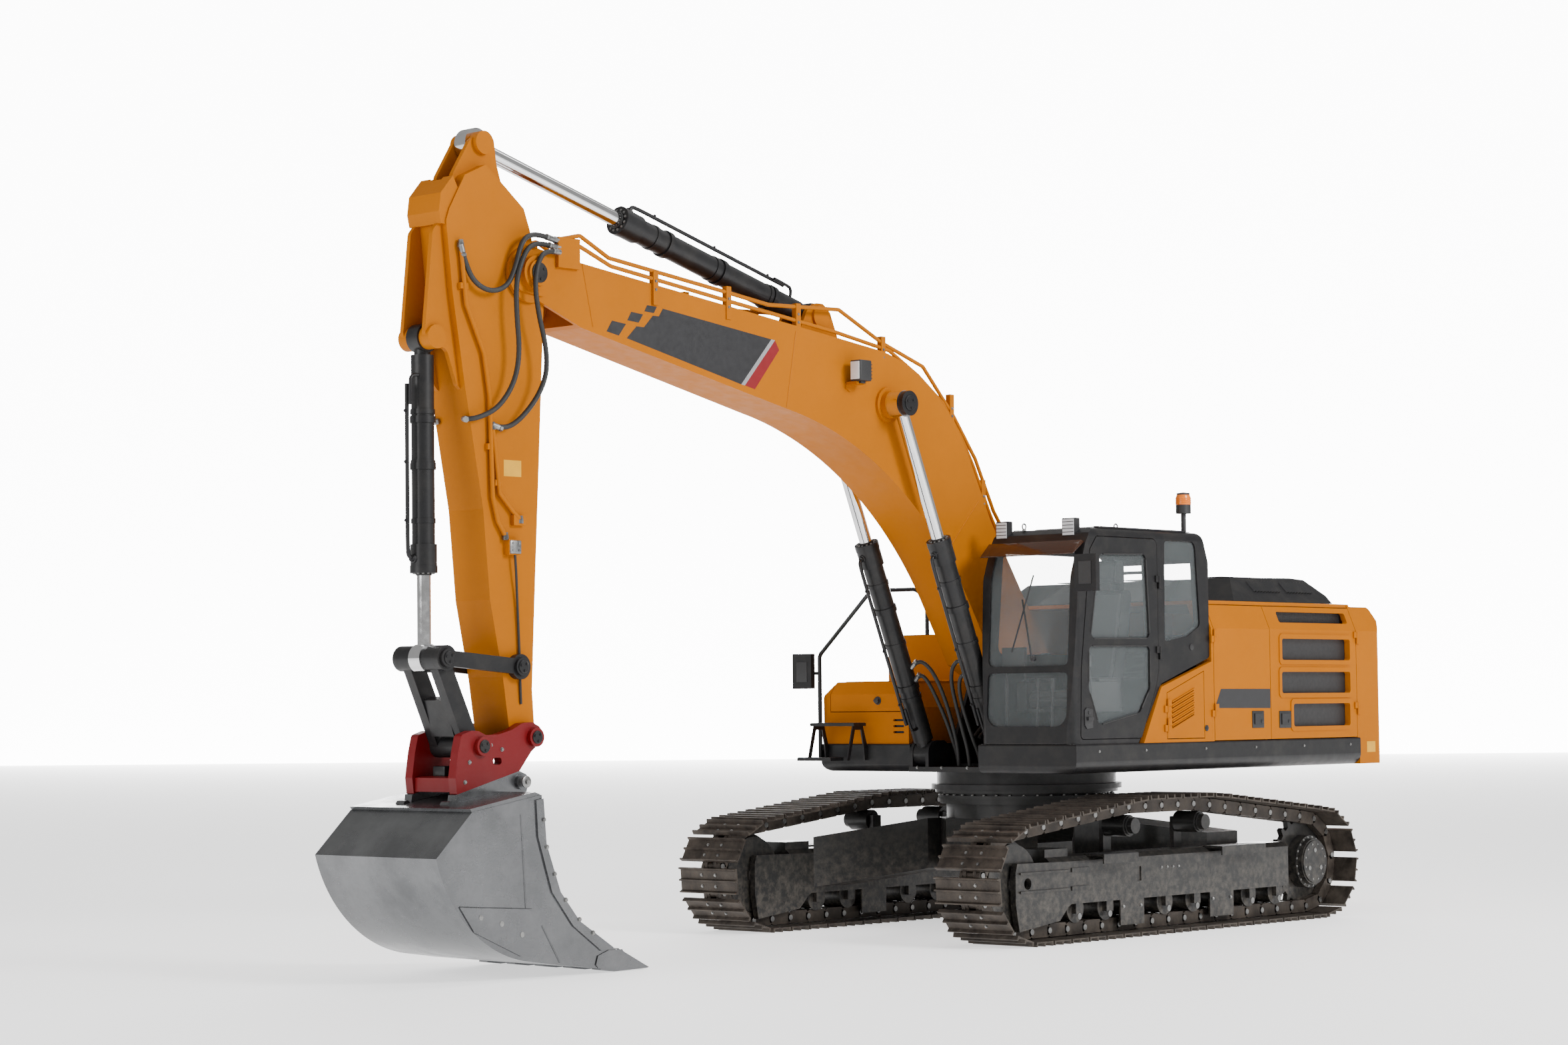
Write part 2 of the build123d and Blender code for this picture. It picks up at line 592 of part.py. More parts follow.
nodes["counterweight"] = counterweight()

# side panels: grilles as (low x, high x, low z, high z)
GRILLES = [(-2620, -1603, 2102, 2276), (-2619, -1594, 1831, 2005), (-2609, -1759, 1558, 1744)]
TOP_GRILLE = (-2640, -1612, 2408, 2496)
GRILLE_FRAME = 38.0
door_low, door_high = DECK_HIGH + RUN_GAP, BODY_HIGH - 36
body_shell = body_frame()

door_section = wall_section(1, DOOR_THICK, door_low, door_high)
front_door = front_slab(door_section, DOOR_SPLIT_X + 3, FRONT_PILLAR_X - 6)
rear_door = front_slab(door_section, TAIL_SIDE_X + 36, DOOR_SPLIT_X - 3)
for x_low, x_high, z_low, z_high in GRILLES:
    hole = outline([(x_low, z_low), (x_high, z_low), (x_high, z_high), (x_low, z_high)], 22)
    frame = outline([(x_low - GRILLE_FRAME, z_low - GRILLE_FRAME),
                     (x_high + GRILLE_FRAME, z_low - GRILLE_FRAME),
                     (x_high + GRILLE_FRAME, z_high + GRILLE_FRAME),
                     (x_low - GRILLE_FRAME, z_high + GRILLE_FRAME)],
                    40)
    rear_door += slab(frame, HOUSE_HALF - 5, HOUSE_HALF + 8)
    rear_door -= slab(hole, HOUSE_HALF - DOOR_THICK - 1, HOUSE_HALF + 9)
x_low, x_high, z_low, z_high = TOP_GRILLE
top_hole = outline([(x_low, z_low), (x_high, z_low), (x_high, z_high), (x_low, z_high)], 20)
rear_door -= slab(top_hole, LEAN_Y - 60, HOUSE_HALF + 9)
hinge_heights = (1700, 2290)
door_leaves, post_leaves = upright_hinge(FRONT_PILLAR_X - 3, HOUSE_HALF, hinge_heights, -1)
nodes["side_door_front"] = front_door + door_leaves
body_shell += post_leaves
door_leaves, post_leaves = upright_hinge(TAIL_SIDE_X + 33, HOUSE_HALF, hinge_heights, 1)
nodes["side_door_rear"] = rear_door + door_leaves
body_shell += post_leaves

# panel behind the cab with the small louvred door in it
FAIRING_REAR = FRONT_PILLAR_X + 30 + SEAT_GAP
fairing = outline([(FAIRING_REAR, DECK_HIGH + SEAT_GAP), (316, DECK_HIGH + SEAT_GAP), (86, 1870),
                   (72, 1888),
                   (FAIRING_REAR, 2086)])
door_hole = outline([(-500, DECK_HIGH + 24), (LOW_DOOR_X, DECK_HIGH + 24), (LOW_DOOR_X, 1842),
                     (-500, 2014)])
low_door = outline([(-494, DECK_HIGH + 30), (LOW_DOOR_X - 6, DECK_HIGH + 30), (LOW_DOOR_X - 6, 1838),
                    (-494, 2006)])
fairing_solid = slab(fairing, HOUSE_HALF - DOOR_THICK, HOUSE_HALF)
fairing_solid -= slab(door_hole, HOUSE_HALF - DOOR_THICK - 1, HOUSE_HALF + 1)
low_door_solid = slab(low_door, HOUSE_HALF - 30, HOUSE_HALF)
for number in range(6):                             # slanted louvres
    z = 1561 + 38 * number
    slot = outline([(-357, z + 104), (-60, z), (-60, z + 16), (-357, z + 120)])
    low_door_solid -= slab(slot, HOUSE_HALF - 31, HOUSE_HALF + 1)
door_leaves, post_leaves = upright_hinge(LOW_DOOR_X - 3, HOUSE_HALF, (1590, 1740), -1)
nodes["low_door"] = low_door_solid + door_leaves
nodes["cab_fairing"] = fairing_solid + post_leaves


def hood():
    """Raised engine cover with sloping sides and a lower hump ahead."""
    low = BODY_HIGH + RUN_GAP
    top = low + HOOD_RISE
    rear = HOOD_X + 16
    main = slab(outline([(rear, low), (rear, low + 70), (rear + 150, top - 12), (rear + 340, top),
                         (-1400, top - 16), (-1215, low + 30), (-1180, low)]), -1250, 1250)
    side = front_slab(outline([(1230, low), (1195, low + 36), (1030, top), (-1030, top), (-1195, low + 36),
                               (-1230, low)]), rear - 1, -1000)
    hump = slab(outline([(-1500, low), (-1500, top - 20), (-1300, top - 24), (-900, low + 12),
                         (-900, low)]),
                -560, 560)
    return (main & side) + hump


lid_leaves, box_leaves = level_hinge(HOOD_X, BODY_HIGH + RUN_GAP + HOOD_LIFT, (-900, 700), 1)
nodes["engine_hood"] = hood() + lid_leaves
nodes["body_frame"] = body_shell + [leaf for leaf in box_leaves if leaf.center().Y > -490]

# right side: compartment, tank and storage box
compartment = outline([(-HOUSE_HALF, DECK_HIGH + SEAT_GAP), (-HOUSE_HALF, LEAN_Z), (-LEAN_Y, BODY_HIGH),
                       (-500, BODY_HIGH), (-500, DECK_HIGH + SEAT_GAP)])
tank_plan = outline([(-619, -HOUSE_HALF + 8), (TANK_FRONT, -HOUSE_HALF + 8), (TANK_FRONT, -500),
                     (-619, -500)],
                    [2, 60, 40, 2])
tank = plan_slab(tank_plan, DECK_HIGH + SEAT_GAP, TANK_HIGH)
tank &= front_slab(outline([(-HOUSE_HALF - 1, DECK_HIGH), (-HOUSE_HALF - 1, TANK_HIGH - 60),
                            (-HOUSE_HALF + 60, TANK_HIGH + 1), (-499, TANK_HIGH + 1), (-499, DECK_HIGH)]),
                            -700, 200)
tank += stacked(-150, -760, [(TANK_HIGH - 1, TANK_HIGH + 28, 105), (TANK_HIGH + 28, TANK_HIGH + 90, 52)])
tank += block(-560, -330, -900, -620, TANK_HIGH - 1, TANK_HIGH + 120)
nodes["right_body"] = group([front_slab(compartment, TAIL_SIDE_X + 6, -620)
                             + [leaf for leaf in box_leaves if leaf.center().Y < -490], tank])

# storage box: lid inset between its cheeks
LID_SIDES = (-1322.0, -543.0)
box_front = outline([(TANK_FRONT + 6, DECK_HIGH + SEAT_GAP), (BOX_FRONT, DECK_HIGH + SEAT_GAP),
                     (BOX_FRONT, BOX_HIGH - 100), (BOX_FRONT - 75, BOX_HIGH), (TANK_FRONT + 6, BOX_HIGH)])
box_section = outline([(-1392, DECK_HIGH), (-492, DECK_HIGH), (-492, 1745), (-548, BOX_HIGH + 1),
                       (-1306, BOX_HIGH + 1), (-1392, BOX_HIGH - 120)])
box_whole = slab(box_front, -HOUSE_HALF, -490) & front_slab(box_section, 0, BOX_FRONT + 1)
lid_rear = TOOL_LID_X + 20
lid = box_whole & block(lid_rear, BOX_FRONT + 1, LID_SIDES[0] + 5, LID_SIDES[1] - 5, LID_LOW, BOX_HIGH + 1)
lid -= block(lid_rear - 1, BOX_FRONT - 30, LID_SIDES[0] + 35, LID_SIDES[1] - 35, LID_LOW - 1,
             BOX_HIGH - 110)
box_body = box_whole - block(lid_rear - 6, BOX_FRONT + 1, *LID_SIDES, LID_LOW - 6, BOX_HIGH + 2)
box_body -= block(TANK_FRONT + 136, BOX_FRONT - 40, LID_SIDES[0] + 40, LID_SIDES[1] - 40, DECK_HIGH + 40,
                  LID_LOW)
for z in (1549, 1597, 1645):                        # vents beside the lid
    vent = outline([(-652, z - 9), (-540, z - 9), (-540, z + 9), (-652, z + 9)], 8)
    box_body -= front_slab(vent, BOX_FRONT - 25, BOX_FRONT + 1)
lid_hinges = (-1250, -700)
for y in lid_hinges:                                # pockets for the lid's knuckles
    box_body -= block(TOOL_LID_X - HINGE_RADIUS - RUN_GAP, lid_rear, y - 5, y + 65,
                      TOOL_LID_Z - HINGE_RADIUS - RUN_GAP, BOX_HIGH + 2)
lid_leaves, box_leaves = level_hinge(TOOL_LID_X, TOOL_LID_Z, lid_hinges, 1)
nodes["tool_box"] = box_body + box_leaves
nodes["tool_box_lid"] = lid + lid_leaves


# ---------------------------------------------------------------- cab
def cab_side():
    """Cab outline from the side."""
    return outline([
        (CAB_REAR, 2118), (62, 1911), (366, DECK_HIGH + SEAT_GAP), (CAB_FRONT_LOW, DECK_HIGH + SEAT_GAP),
        (CAB_FRONT_LOW - 3, 1600), (CAB_FRONT_LOW - 81, 2725), (CAB_FRONT_HIGH, CAB_ROOF - 127),
        (CAB_FRONT_HIGH - 52, CAB_ROOF - 42), (CAB_FRONT_HIGH - 142, CAB_ROOF), (CAB_REAR + 85, CAB_ROOF),
        (CAB_REAR, CAB_ROOF - 230)],
        [40, 60, 10, 12, 40, 200, 30, 20, 60, 60, 60])


def cab_body(inset):
    """The cab's outer skin, or its room with the walls' thickness as inset."""
    front = outline([(CAB_IN, 1000), (CAB_OUT, 1000), (CAB_OUT, CAB_ROOF), (CAB_IN, CAB_ROOF)], 70)
    plan = outline([(CAB_REAR - 100, CAB_IN), (CAB_FRONT_LOW, CAB_IN), (CAB_FRONT_LOW, CAB_OUT),
                    (CAB_REAR - 100, CAB_OUT)], [5, 90, 90, 5])
    side, front, plan = (face if inset == 0 else offset(face, amount=-inset) for face in (cab_side(),
                                                                                          front, plan))
    return (slab(side, CAB_IN - 1, CAB_OUT + 1) & front_slab(front, CAB_REAR - 1, CAB_FRONT_LOW + 1)
            & plan_slab(plan, 1000, CAB_ROOF + 1))


# openings seen from the side (x, z) and from the front (y, z), all tied to the roof's height
DOORWAY = outline([(322, 1490), (1106, 1490), (1088, 2020), (960, CAB_ROOF - 170), (872, CAB_ROOF - 66),
                   (88, CAB_ROOF - 66), (84, 2018), (122, 1889)], [30, 40, 200, 60, 40, 60, 60, 60])
DOOR_GLASS_HIGH = outline([(200, 2262), (966, 2256), (838, CAB_ROOF - 205), (240, CAB_ROOF - 190)], 50)
DOOR_GLASS_LOW = outline([(200, 2205), (985, 2200), (995, 1880), (872, 1600), (345, 1690), (205, 1880)], 50)
REAR_SIDE_GLASS = outline([(0, 2235), (-12, CAB_ROOF - 75), (-425, CAB_ROOF - 75), (-478, 2368),
                           (-310, 2285)],
                          [30, 40, 60, 50, 50])
RIGHT_GLASS = outline([(-440, 2150), (1010, 2150), (925, CAB_ROOF - 170), (-440, CAB_ROOF - 170)], 60)
SCREEN_HIGH = outline([(CAB_IN + 75, 2050), (CAB_OUT - 75, 2050), (CAB_OUT - 75, CAB_ROOF - 170),
                       (CAB_IN + 75, CAB_ROOF - 170)], 50)
SCREEN_LOW = outline([(CAB_IN + 75, 1590), (CAB_OUT - 75, 1590), (CAB_OUT - 75, 2000), (CAB_IN + 75, 2000)],
                     [110, 110, 40, 40])
REAR_GLASS = outline([(CAB_IN + 95, 2300), (CAB_OUT - 95, 2300), (CAB_OUT - 95, CAB_ROOF - 170),
                      (CAB_IN + 95, CAB_ROOF - 170)], 60)
cab_shell = cab_body(0)
cab_shell -= cab_body(CAB_WALL)
cab_shell -= slab(DOORWAY, CAB_OUT - CAB_WALL - 1, CAB_OUT + 1)
cab_shell -= slab(REAR_SIDE_GLASS, CAB_OUT - CAB_WALL - 1, CAB_OUT + 1)
cab_shell -= slab(RIGHT_GLASS, CAB_IN - 1, CAB_IN + CAB_WALL + 1)
for screen in (SCREEN_HIGH, SCREEN_LOW):
    cab_shell -= front_slab(screen, CAB_FRONT_HIGH - 200, CAB_FRONT_LOW + 1)
cab_shell -= front_slab(REAR_GLASS, CAB_REAR - 1, CAB_REAR + CAB_WALL + 1)
door_leaves, post_leaves = upright_hinge(CAB_DOOR_X, CAB_OUT, (2150, 2700), 1)
nodes["cab"] = cab_shell + post_leaves
door_leaf = slab(offset(DOORWAY, amount=-RUN_GAP), CAB_OUT - 45, CAB_OUT + 2)
for hole in (DOOR_GLASS_HIGH, DOOR_GLASS_LOW):
    door_leaf -= slab(hole, CAB_OUT - 46, CAB_OUT + 3)
nodes["cab_door"] = door_leaf + door_leaves


def pane(hole, y):
    """Side window glass, set in its opening."""
    return slab(offset(hole, amount=-SEAT_GAP), y, y + GLASS)


skin = slab(offset(cab_side(), amount=-18), CAB_IN, CAB_OUT) - slab(offset(cab_side(), amount=-18 - GLASS),
                                                                     CAB_IN - 1, CAB_OUT + 1)
panes = [pane(REAR_SIDE_GLASS, CAB_OUT - 20), pane(RIGHT_GLASS, CAB_IN + 14)]
for screen in (SCREEN_HIGH, SCREEN_LOW):
    panes.append(skin & front_slab(offset(screen, amount=-SEAT_GAP), CAB_FRONT_HIGH - 200, CAB_FRONT_LOW))
panes.append(front_slab(offset(REAR_GLASS, amount=-SEAT_GAP), CAB_REAR + 14, CAB_REAR + 14 + GLASS))
nodes["cab_glass"] = group(panes)
nodes["door_glass"] = group([pane(DOOR_GLASS_HIGH, CAB_OUT - 22), pane(DOOR_GLASS_LOW, CAB_OUT - 22)])

SEAT_Y = (CAB_IN + CAB_OUT) / 2
CONSOLE_OUT = (CAB_OUT - CAB_IN) / 2 - CONSOLE_ROOM
seat_back = outline([(290, 1830), (410, 1830), (300, 2300), (235, 2640), (120, 2640), (170, 2300)],
                    [20, 40, 60, 40, 40, 60])
seat_cushion = outline([(290, 1730), (800, 1730), (830, 1790), (800, 1840), (290, 1850)],
                       [10, 30, 30, 30, 10])
seat = slab(seat_cushion, SEAT_Y - 250, SEAT_Y + 250) + slab(seat_back, SEAT_Y - 235, SEAT_Y + 235)
head_rest = outline([(110, 2700), (200, 2700), (185, 2880), (95, 2880)], 25)
seat += slab(head_rest, SEAT_Y - 140, SEAT_Y + 140) + block(135, 160, SEAT_Y - 60, SEAT_Y + 60, 2600, 2720)
seat += block(440, 680, SEAT_Y - 130, SEAT_Y + 130, DECK_HIGH + CAB_WALL + 2 * SEAT_GAP, 1740)
for side in (1, -1):                                # side consoles
    seat += block(430, 800, *sorted((SEAT_Y + side * 120, SEAT_Y + side * CONSOLE_OUT)), 1700, 1726)
    seat += block(470, 830, *sorted((SEAT_Y + side * 265, SEAT_Y + side * CONSOLE_OUT)), 1700, 1930)
nodes["seat"] = seat
nodes["engine_block"] = block(-2500, -1500, -440, 440, DECK_LOW + 2 * DECK_PLATE + SEAT_GAP, 2200)


def lamp(x, y_low, y_high, seat_face):
    """Work lamp on the cab's roof edge."""
    body = slab(outline([(x, CAB_ROOF - 90), (x + 62, CAB_ROOF - 90), (x + 62, CAB_ROOF + 74),
                         (x, CAB_ROOF + 74)],
                        8), y_low, y_high)
    return body - seat_face


roof_seat = slab(offset(cab_side(), amount=SEAT_GAP), CAB_IN - 1, CAB_OUT + 1)
beacon = stacked(-470, 1250, [(CAB_ROOF + SEAT_GAP, CAB_ROOF + 8, 45), (CAB_ROOF + 8, CAB_ROOF + 157, 20),
                              (CAB_ROOF + 157, CAB_ROOF + 225, 60), (CAB_ROOF + 225, CAB_ROOF + 320, 52)])
nodes["cab_lamps"] = group([lamp(905, 490, 605, roof_seat), lamp(905, 1133, 1256, roof_seat), beacon])


def step_bracket():
    """Two A-shaped brackets on the right deck's front with two treads."""
    face = RIGHT_FRONT + SEAT_GAP
    legs = outline([(face, 1325), (face, 1430), (955, 1602), (1075, 1602), (1150, 1325), (1118, 1325),
                    (1052, 1570), (976, 1570), (945, 1430), (935, 1325)])
    body = slab(legs, -1338, -1326) + slab(legs, -922, -910)
    body += block(940, 1090, -1360, -890, 1600, 1624)
    return body + block(1000, 1160, -1440, -1080, 1322, 1346) + block(face + 30, 1001, -1338, -1326, 1322,
                                                                      1346)


def mirror_head(x, side, low, high):
    return block(x, x + 45, *between(side, MIRROR_OUT - 205, MIRROR_OUT), low, high)


rail = tube_along([(925, -1395, 1340), (925, -1395, 2174), (273, -1395, 2716), (-306, -1395, 2739),
                   (-375, -1330, 2660), (-375, -1330, TANK_HIGH + SEAT_GAP)], RAIL_RADIUS, 60)
rail += block(RIGHT_FRONT + SEAT_GAP, 925, -1405, -1385, 1345, 1400)
rail += cross_pin((925, 2030), 12, 0 - MIRROR_OUT + 150, -1395) + mirror_head(935, -1, 1905, 2190)
left_arm = tube_along([(1030, CAB_OUT + SEAT_GAP, 2750), (1030, CAB_OUT + 80, 2750),
                       (1200, CAB_OUT + 130, 2750)],
                      12, 30)
left_mirror = left_arm + mirror_head(1185, 1, 2605, 2884)
nodes["rails_and_mirrors"] = group([rail, step_bracket(), left_mirror])


# ---------------------------------------------------------------- boom
# steel pipes on the boom's back and the stick's side, as corner points (x, z)
BOOM_PIPE = [(5420, 4965), (5180, 5020), (4900, 4892), (3640, 4750), (3260, 4705), (2480, 4735),
             (1990, 4525),
             (1500, 4375), (1130, 4010), (870, 3690), (650, 3290), (432, 3020)]
BOOM_PIPE_LOW = [(5400, 4915), (5180, 4945), (4880, 4836), (3640, 4690), (3260, 4648), (2500, 4560),
                 (1900, 4470), (1560, 4300), (1270, 4110), (1050, 3860), (900, 3640), (700, 3270),
                 (500, 2960)]
STICK_PIPE = [(6262, 4860), (6215, 4460), (6060, 4145), (6010, 3861), (5985, 3186), (5940, 3023),
              (5871, 2924)]
STICK_PIPE_LOW = [(5985, 3660), (5925, 3210), (5800, 3091), (5735, 3040)]


def boom():
    profile = [Line((5253, 4845), (2030, 4458)),
               ThreePointArc((2030, 4458), (1432, 4212), (992, 3727)),
               Line((992, 3727), (715, 3208)), Line((715, 3208), (-45, 2100)),
               ThreePointArc((-45, 2100), (0, 1845), (240, 1845)), Line((240, 1845), (690, 2080)),
               Line((690, 2080), (1017, 2594)),
               ThreePointArc((1017, 2594), (1831, 3426), (3075, 3947)), Line((3075, 3947), (5155, 4384)),
               Line((5155, 4384), (5558, 4535)), ThreePointArc((5558, 4535), (5835, 4715), (5600, 4900)),
               Line((5600, 4900), (5253, 4845))]
    body = slab(make_face(profile), -BOOM_HALF, BOOM_HALF)
    half, tip = BOOM_HALF, BOOM_TIP_HALF
    plan = outline([(-300, -half), (2600, -half), (5000, -tip), (6000, -tip), (6000, tip), (5000, tip),
                    (2600, half), (-300, half)])
    body &= plan_slab(plan, 1500, 5200)
    fork = STICK_HALF + 6
    body -= cross_pin(STICK_PIN, FORK_DEPTH, -fork, fork)
    body += cross_pin(BOOM_FOOT, 170, -BOOM_HALF - 25 + PIN_GAP, BOOM_HALF + 25 - PIN_GAP)
    lug = outline([(2330, 4380), (2880, 4450), (2740, 4720), (2640, 4780), (2560, 4780), (2480, 4720)],
                  [5, 5, 60, 40, 40, 60])
    boss_plate = outline([(5490, 4560), (5770, 4590), (5800, 4800), (5660, 4880), (5480, 4850)],
                         [60, 60, 60, 60, 60])
    lamp_stem = outline([(2180, 4190), (2400, 4120), (2440, 4140), (2440, 4180), (2400, 4180),
                         (2230, 4230)])
    for side in (1, -1):
        body += cross_pin(BOOM_CYL_EYE, 135, *between(side, half - 2, half + 22))
        body += cross_pin(BOOM_CYL_EYE, 105, *between(side, half - 2, BOOM_CYL_Y - 55 - PIN_GAP))
        body += slab(boss_plate, *between(side, tip - 2, tip + 18))
        body += cross_pin(STICK_PIN, 118, *between(side, tip - 2, tip + 62))
        body += cross_pin(STICK_PIN, 88, *between(side, tip + 60, tip + 84))
        body += slab(lug, *between(side, 96, 130))
        body += cross_pin(ARM_CYL_FOOT, 85, *between(side, 55 + PIN_GAP, 150))
        for points in (BOOM_PIPE, BOOM_PIPE_LOW):
            body += tube_along([(x, side * (tip + 10), z) for x, z in points], PIPE_RADIUS, 50)
        body += block(5195, 5400, *between(side, tip - 15, tip + 30), 4780, 4990)
        for x, z in ((4450, 4600), (3700, 4560), (2950, 4500), (1985, 4330), (1170, 3850), (790, 3200)):
            rise = 240 if x > 1500 else 330                # clamps from the boom's back to the pipes
            body += block(x - 25, x + 25, *between(side, tip - 15, tip + 28), z, z + rise)
    body += slab(lamp_stem, BOOM_HALF - 2, BOOM_HALF + 10)
    return body + block(2330, 2440, BOOM_HALF + 9, BOOM_HALF + 110, 4170, 4190)


nodes["boom"] = boom()
caps = [cross_pin(BOOM_CYL_EYE, 95, *between(side, BOOM_CYL_Y + 55 + PIN_GAP, BOOM_CYL_Y + 105))
        for side in (1, -1)]
nodes["boom_pin_caps"] = group(caps)

boom_barrels = barrel(BOOM_CYL_FOOT, BOOM_CYL_EYE, BOOM_CYL_Y, BOOM_BARREL, 130, (560, 1220))
nodes["boom_cylinder_barrels"] = group([boom_barrels, mirrored(boom_barrels)])
boom_rod = rod(BOOM_CYL_FOOT, BOOM_CYL_EYE, BOOM_CYL_Y, BOOM_BARREL, 110)
nodes["boom_cylinder_rods"] = group([boom_rod, mirrored(boom_rod)])
nodes["arm_cylinder_barrel"] = barrel(ARM_CYL_FOOT, ARM_CYL_EYE, 0, ARM_BARREL, 110, (420, 980, 1560))
nodes["arm_cylinder_rod"] = rod(ARM_CYL_FOOT, ARM_CYL_EYE, 0, ARM_BARREL, 110)
nodes["bucket_cylinder_barrel"] = barrel(BUCKET_CYL_FOOT, LINK_PIN, 0, BUCKET_BARREL, 110, (520, 830))
nodes["bucket_cylinder_rod"] = rod(BUCKET_CYL_FOOT, LINK_PIN, 0, BUCKET_BARREL, 110)


# ---------------------------------------------------------------- stick
def stick():
    points = [(5843, 5296), (6010, 5421), (6200, 5330), (6338, 5090), (6366, 5010),
              (6313, 4537), (6213, 3953), (6107, 3407), (6048, 3103), (5989, 2496), (5877, 1981),
              (5800, 1500), (5669, 1470), (5585, 1560), (5611, 1900), (5583, 2503), (5534, 3477),
              (5500, 4190), (5483, 4527), (5608, 5018), (5663, 5159)]
    body = slab(outline(points), -STICK_HALF, STICK_HALF)
    ears = outline([(5776, 5250), (5845, 5457), (5867, 5622), (5956, 5669), (6081, 5595), (6250, 5325),
                    (6200, 5200)],
                   [5, 60, 40, 40, 90, 60, 5])
    front_ears = outline([(6180, 4990), (6180, 3880), (6237, 3924), (6330, 4170), (6492, 4150),
                          (6515, 4265),
                          (6445, 4940), (6400, 4990)], [5, 5, 60, 60, 60, 40, 80, 20])
    face_rib = outline([(6150, 5060), (6295, 5316), (6403, 5191), (6420, 5066), (6400, 4985), (6300, 4985)])
    body += slab(face_rib, -STICK_HALF + 12, STICK_HALF - 12)
    eye_room = outline([(5700, 5330), (5860, 5300), (6420, 5300), (6420, 5800), (5700, 5800)])
    body -= slab(eye_room, -62, 62)
    for side in (1, -1):
        body += slab(ears, *between(side, 62, 96))
        body += slab(front_ears, *between(side, 92, 126))
        body += cross_pin(BUCKET_CYL_FOOT, 80, *between(side, 55 + PIN_GAP, 150))
        body += cross_pin(ARM_CYL_EYE, 80, *between(side, 55 + PIN_GAP, 132))
        for points in (STICK_PIPE, STICK_PIPE_LOW):
            body += tube_along([(x, side * (STICK_HALF + 26), z) for x, z in points], PIPE_RADIUS, 40)
        for x, z in ((6232, 4560), (5995, 3500), (5930, 3260)):
            body += block(x - 34, x + 34, *between(side, STICK_HALF - 1, STICK_HALF + 30), z, z + 40)
        body += block(5690, 5800, *between(side, STICK_HALF - 1, STICK_HALF + 34), 3000, 3070)
        body += block(5745, 5860, *between(side, STICK_HALF - 1, STICK_HALF + 48), 2800, 2905)
    for pin, radius in ((STICK_PIN, 130), (BUCKET_PIN, 85), (SIDE_LINK_PIN, 75)):
        body += cross_pin(pin, radius, -STICK_HALF - 6 + PIN_GAP, STICK_HALF + 6 - PIN_GAP)
    return body


nodes["stick"] = stick()


# ---------------------------------------------------------------- bucket linkage
def links(side):
    """Plate link of one side, from the stick to the bucket cylinder's pin."""
    arm_outline = outline([(LINK_PIN[0], LINK_PIN[1] + 52), (LINK_PIN[0], LINK_PIN[1] - 52),
                           (SIDE_LINK_PIN[0], SIDE_LINK_PIN[1] - 52),
                           (SIDE_LINK_PIN[0], SIDE_LINK_PIN[1] + 52)])
    low, high = between(side, STICK_HALF + 6, STICK_HALF + 52)
    body = slab(arm_outline, low, high) + cross_pin(LINK_PIN, 85, low, high) + cross_pin(SIDE_LINK_PIN, 85,
                                                                                         low, high)
    for pin in (LINK_PIN, SIDE_LINK_PIN):
        body += cross_pin(pin, 62, *between(side, STICK_HALF + 51, STICK_HALF + 74))
    return body


nodes["side_links"] = group([links(1), links(-1)])


def bucket_link():
    """H-shaped link between the bucket cylinder's pin and the quick hitch."""
    arm = outline([(LINK_PIN[0] + 60, LINK_PIN[1] - 20), (HITCH_LINK_PIN[0] + 66, HITCH_LINK_PIN[1] - 20),
                   (HITCH_LINK_PIN[0] - 60, HITCH_LINK_PIN[1] + 20), (LINK_PIN[0] - 76, LINK_PIN[1] - 20)])
    body = cross_pin(HITCH_LINK_PIN, 75, -STICK_HALF - 6 + PIN_GAP, STICK_HALF + 6 - PIN_GAP)
    body += slab(outline([(6185, 1620), (6260, 1590), (6345, 1830), (6275, 1855)]), -110, 110)
    for side in (1, -1):
        low, high = between(side, 55 + PIN_GAP, STICK_HALF + 6 - PIN_GAP)
        body += cross_pin(LINK_PIN, 85, low, high)
        body += slab(arm, *between(side, 95, STICK_HALF))
    return body


nodes["bucket_link"] = bucket_link()

hitch_outline = outline([(6228, 1628), (6320, 1600), (6350, 1480), (6374, 1318), (6361, 1211.3),
                         (5803, 1354),
                         (5693, 1481), (5606, 1545), (5600, 1640), (5680, 1678), (5773, 1672), (5870, 1628),
                         (5989, 1600), (6100, 1596), (6170, 1625)],
                        [30, 30, 60, 20, 5, 5, 40, 40, 40, 40, 40, 60, 60, 60, 30])


def hitch():
    """Quick hitch: two plates with pin bosses, joined by the coupler's deck."""
    body = slab(outline([(5900, 1262), (6000, 1236), (6350, 1226), (6350, 1318), (6300, 1328),
                         (5900, 1328)]),
                -STICK_HALF - 6, STICK_HALF + 6)
    slot = outline([(5964, 1400), (6039, 1400), (6039, 1446), (5964, 1446)], 20)
    for side in (1, -1):
        low, high = between(side, STICK_HALF + 6, HITCH_HALF)
        body += slab(hitch_outline, low, high)
        for pin in (HITCH_LINK_PIN, BUCKET_PIN):
            body += cross_pin(pin, 64, *between(side, HITCH_HALF - 1, HITCH_HALF + 34))
    return body - slab(slot, -HITCH_HALF - 1, HITCH_HALF + 1)


nodes["hitch"] = hitch()

# bucket in side view: back of the mouth's rim, lip and heel
RIM_FRONT = (5930.0, 1204.0)
RIM_BACK = (6548.0, 1106.0)
LIP_TIP = (4986.0, 16.0)
LIP_TOP = (5281.0, 162.0)
HEEL = (6085.0, 125.0)
BACK = (6855.0, 820.0)


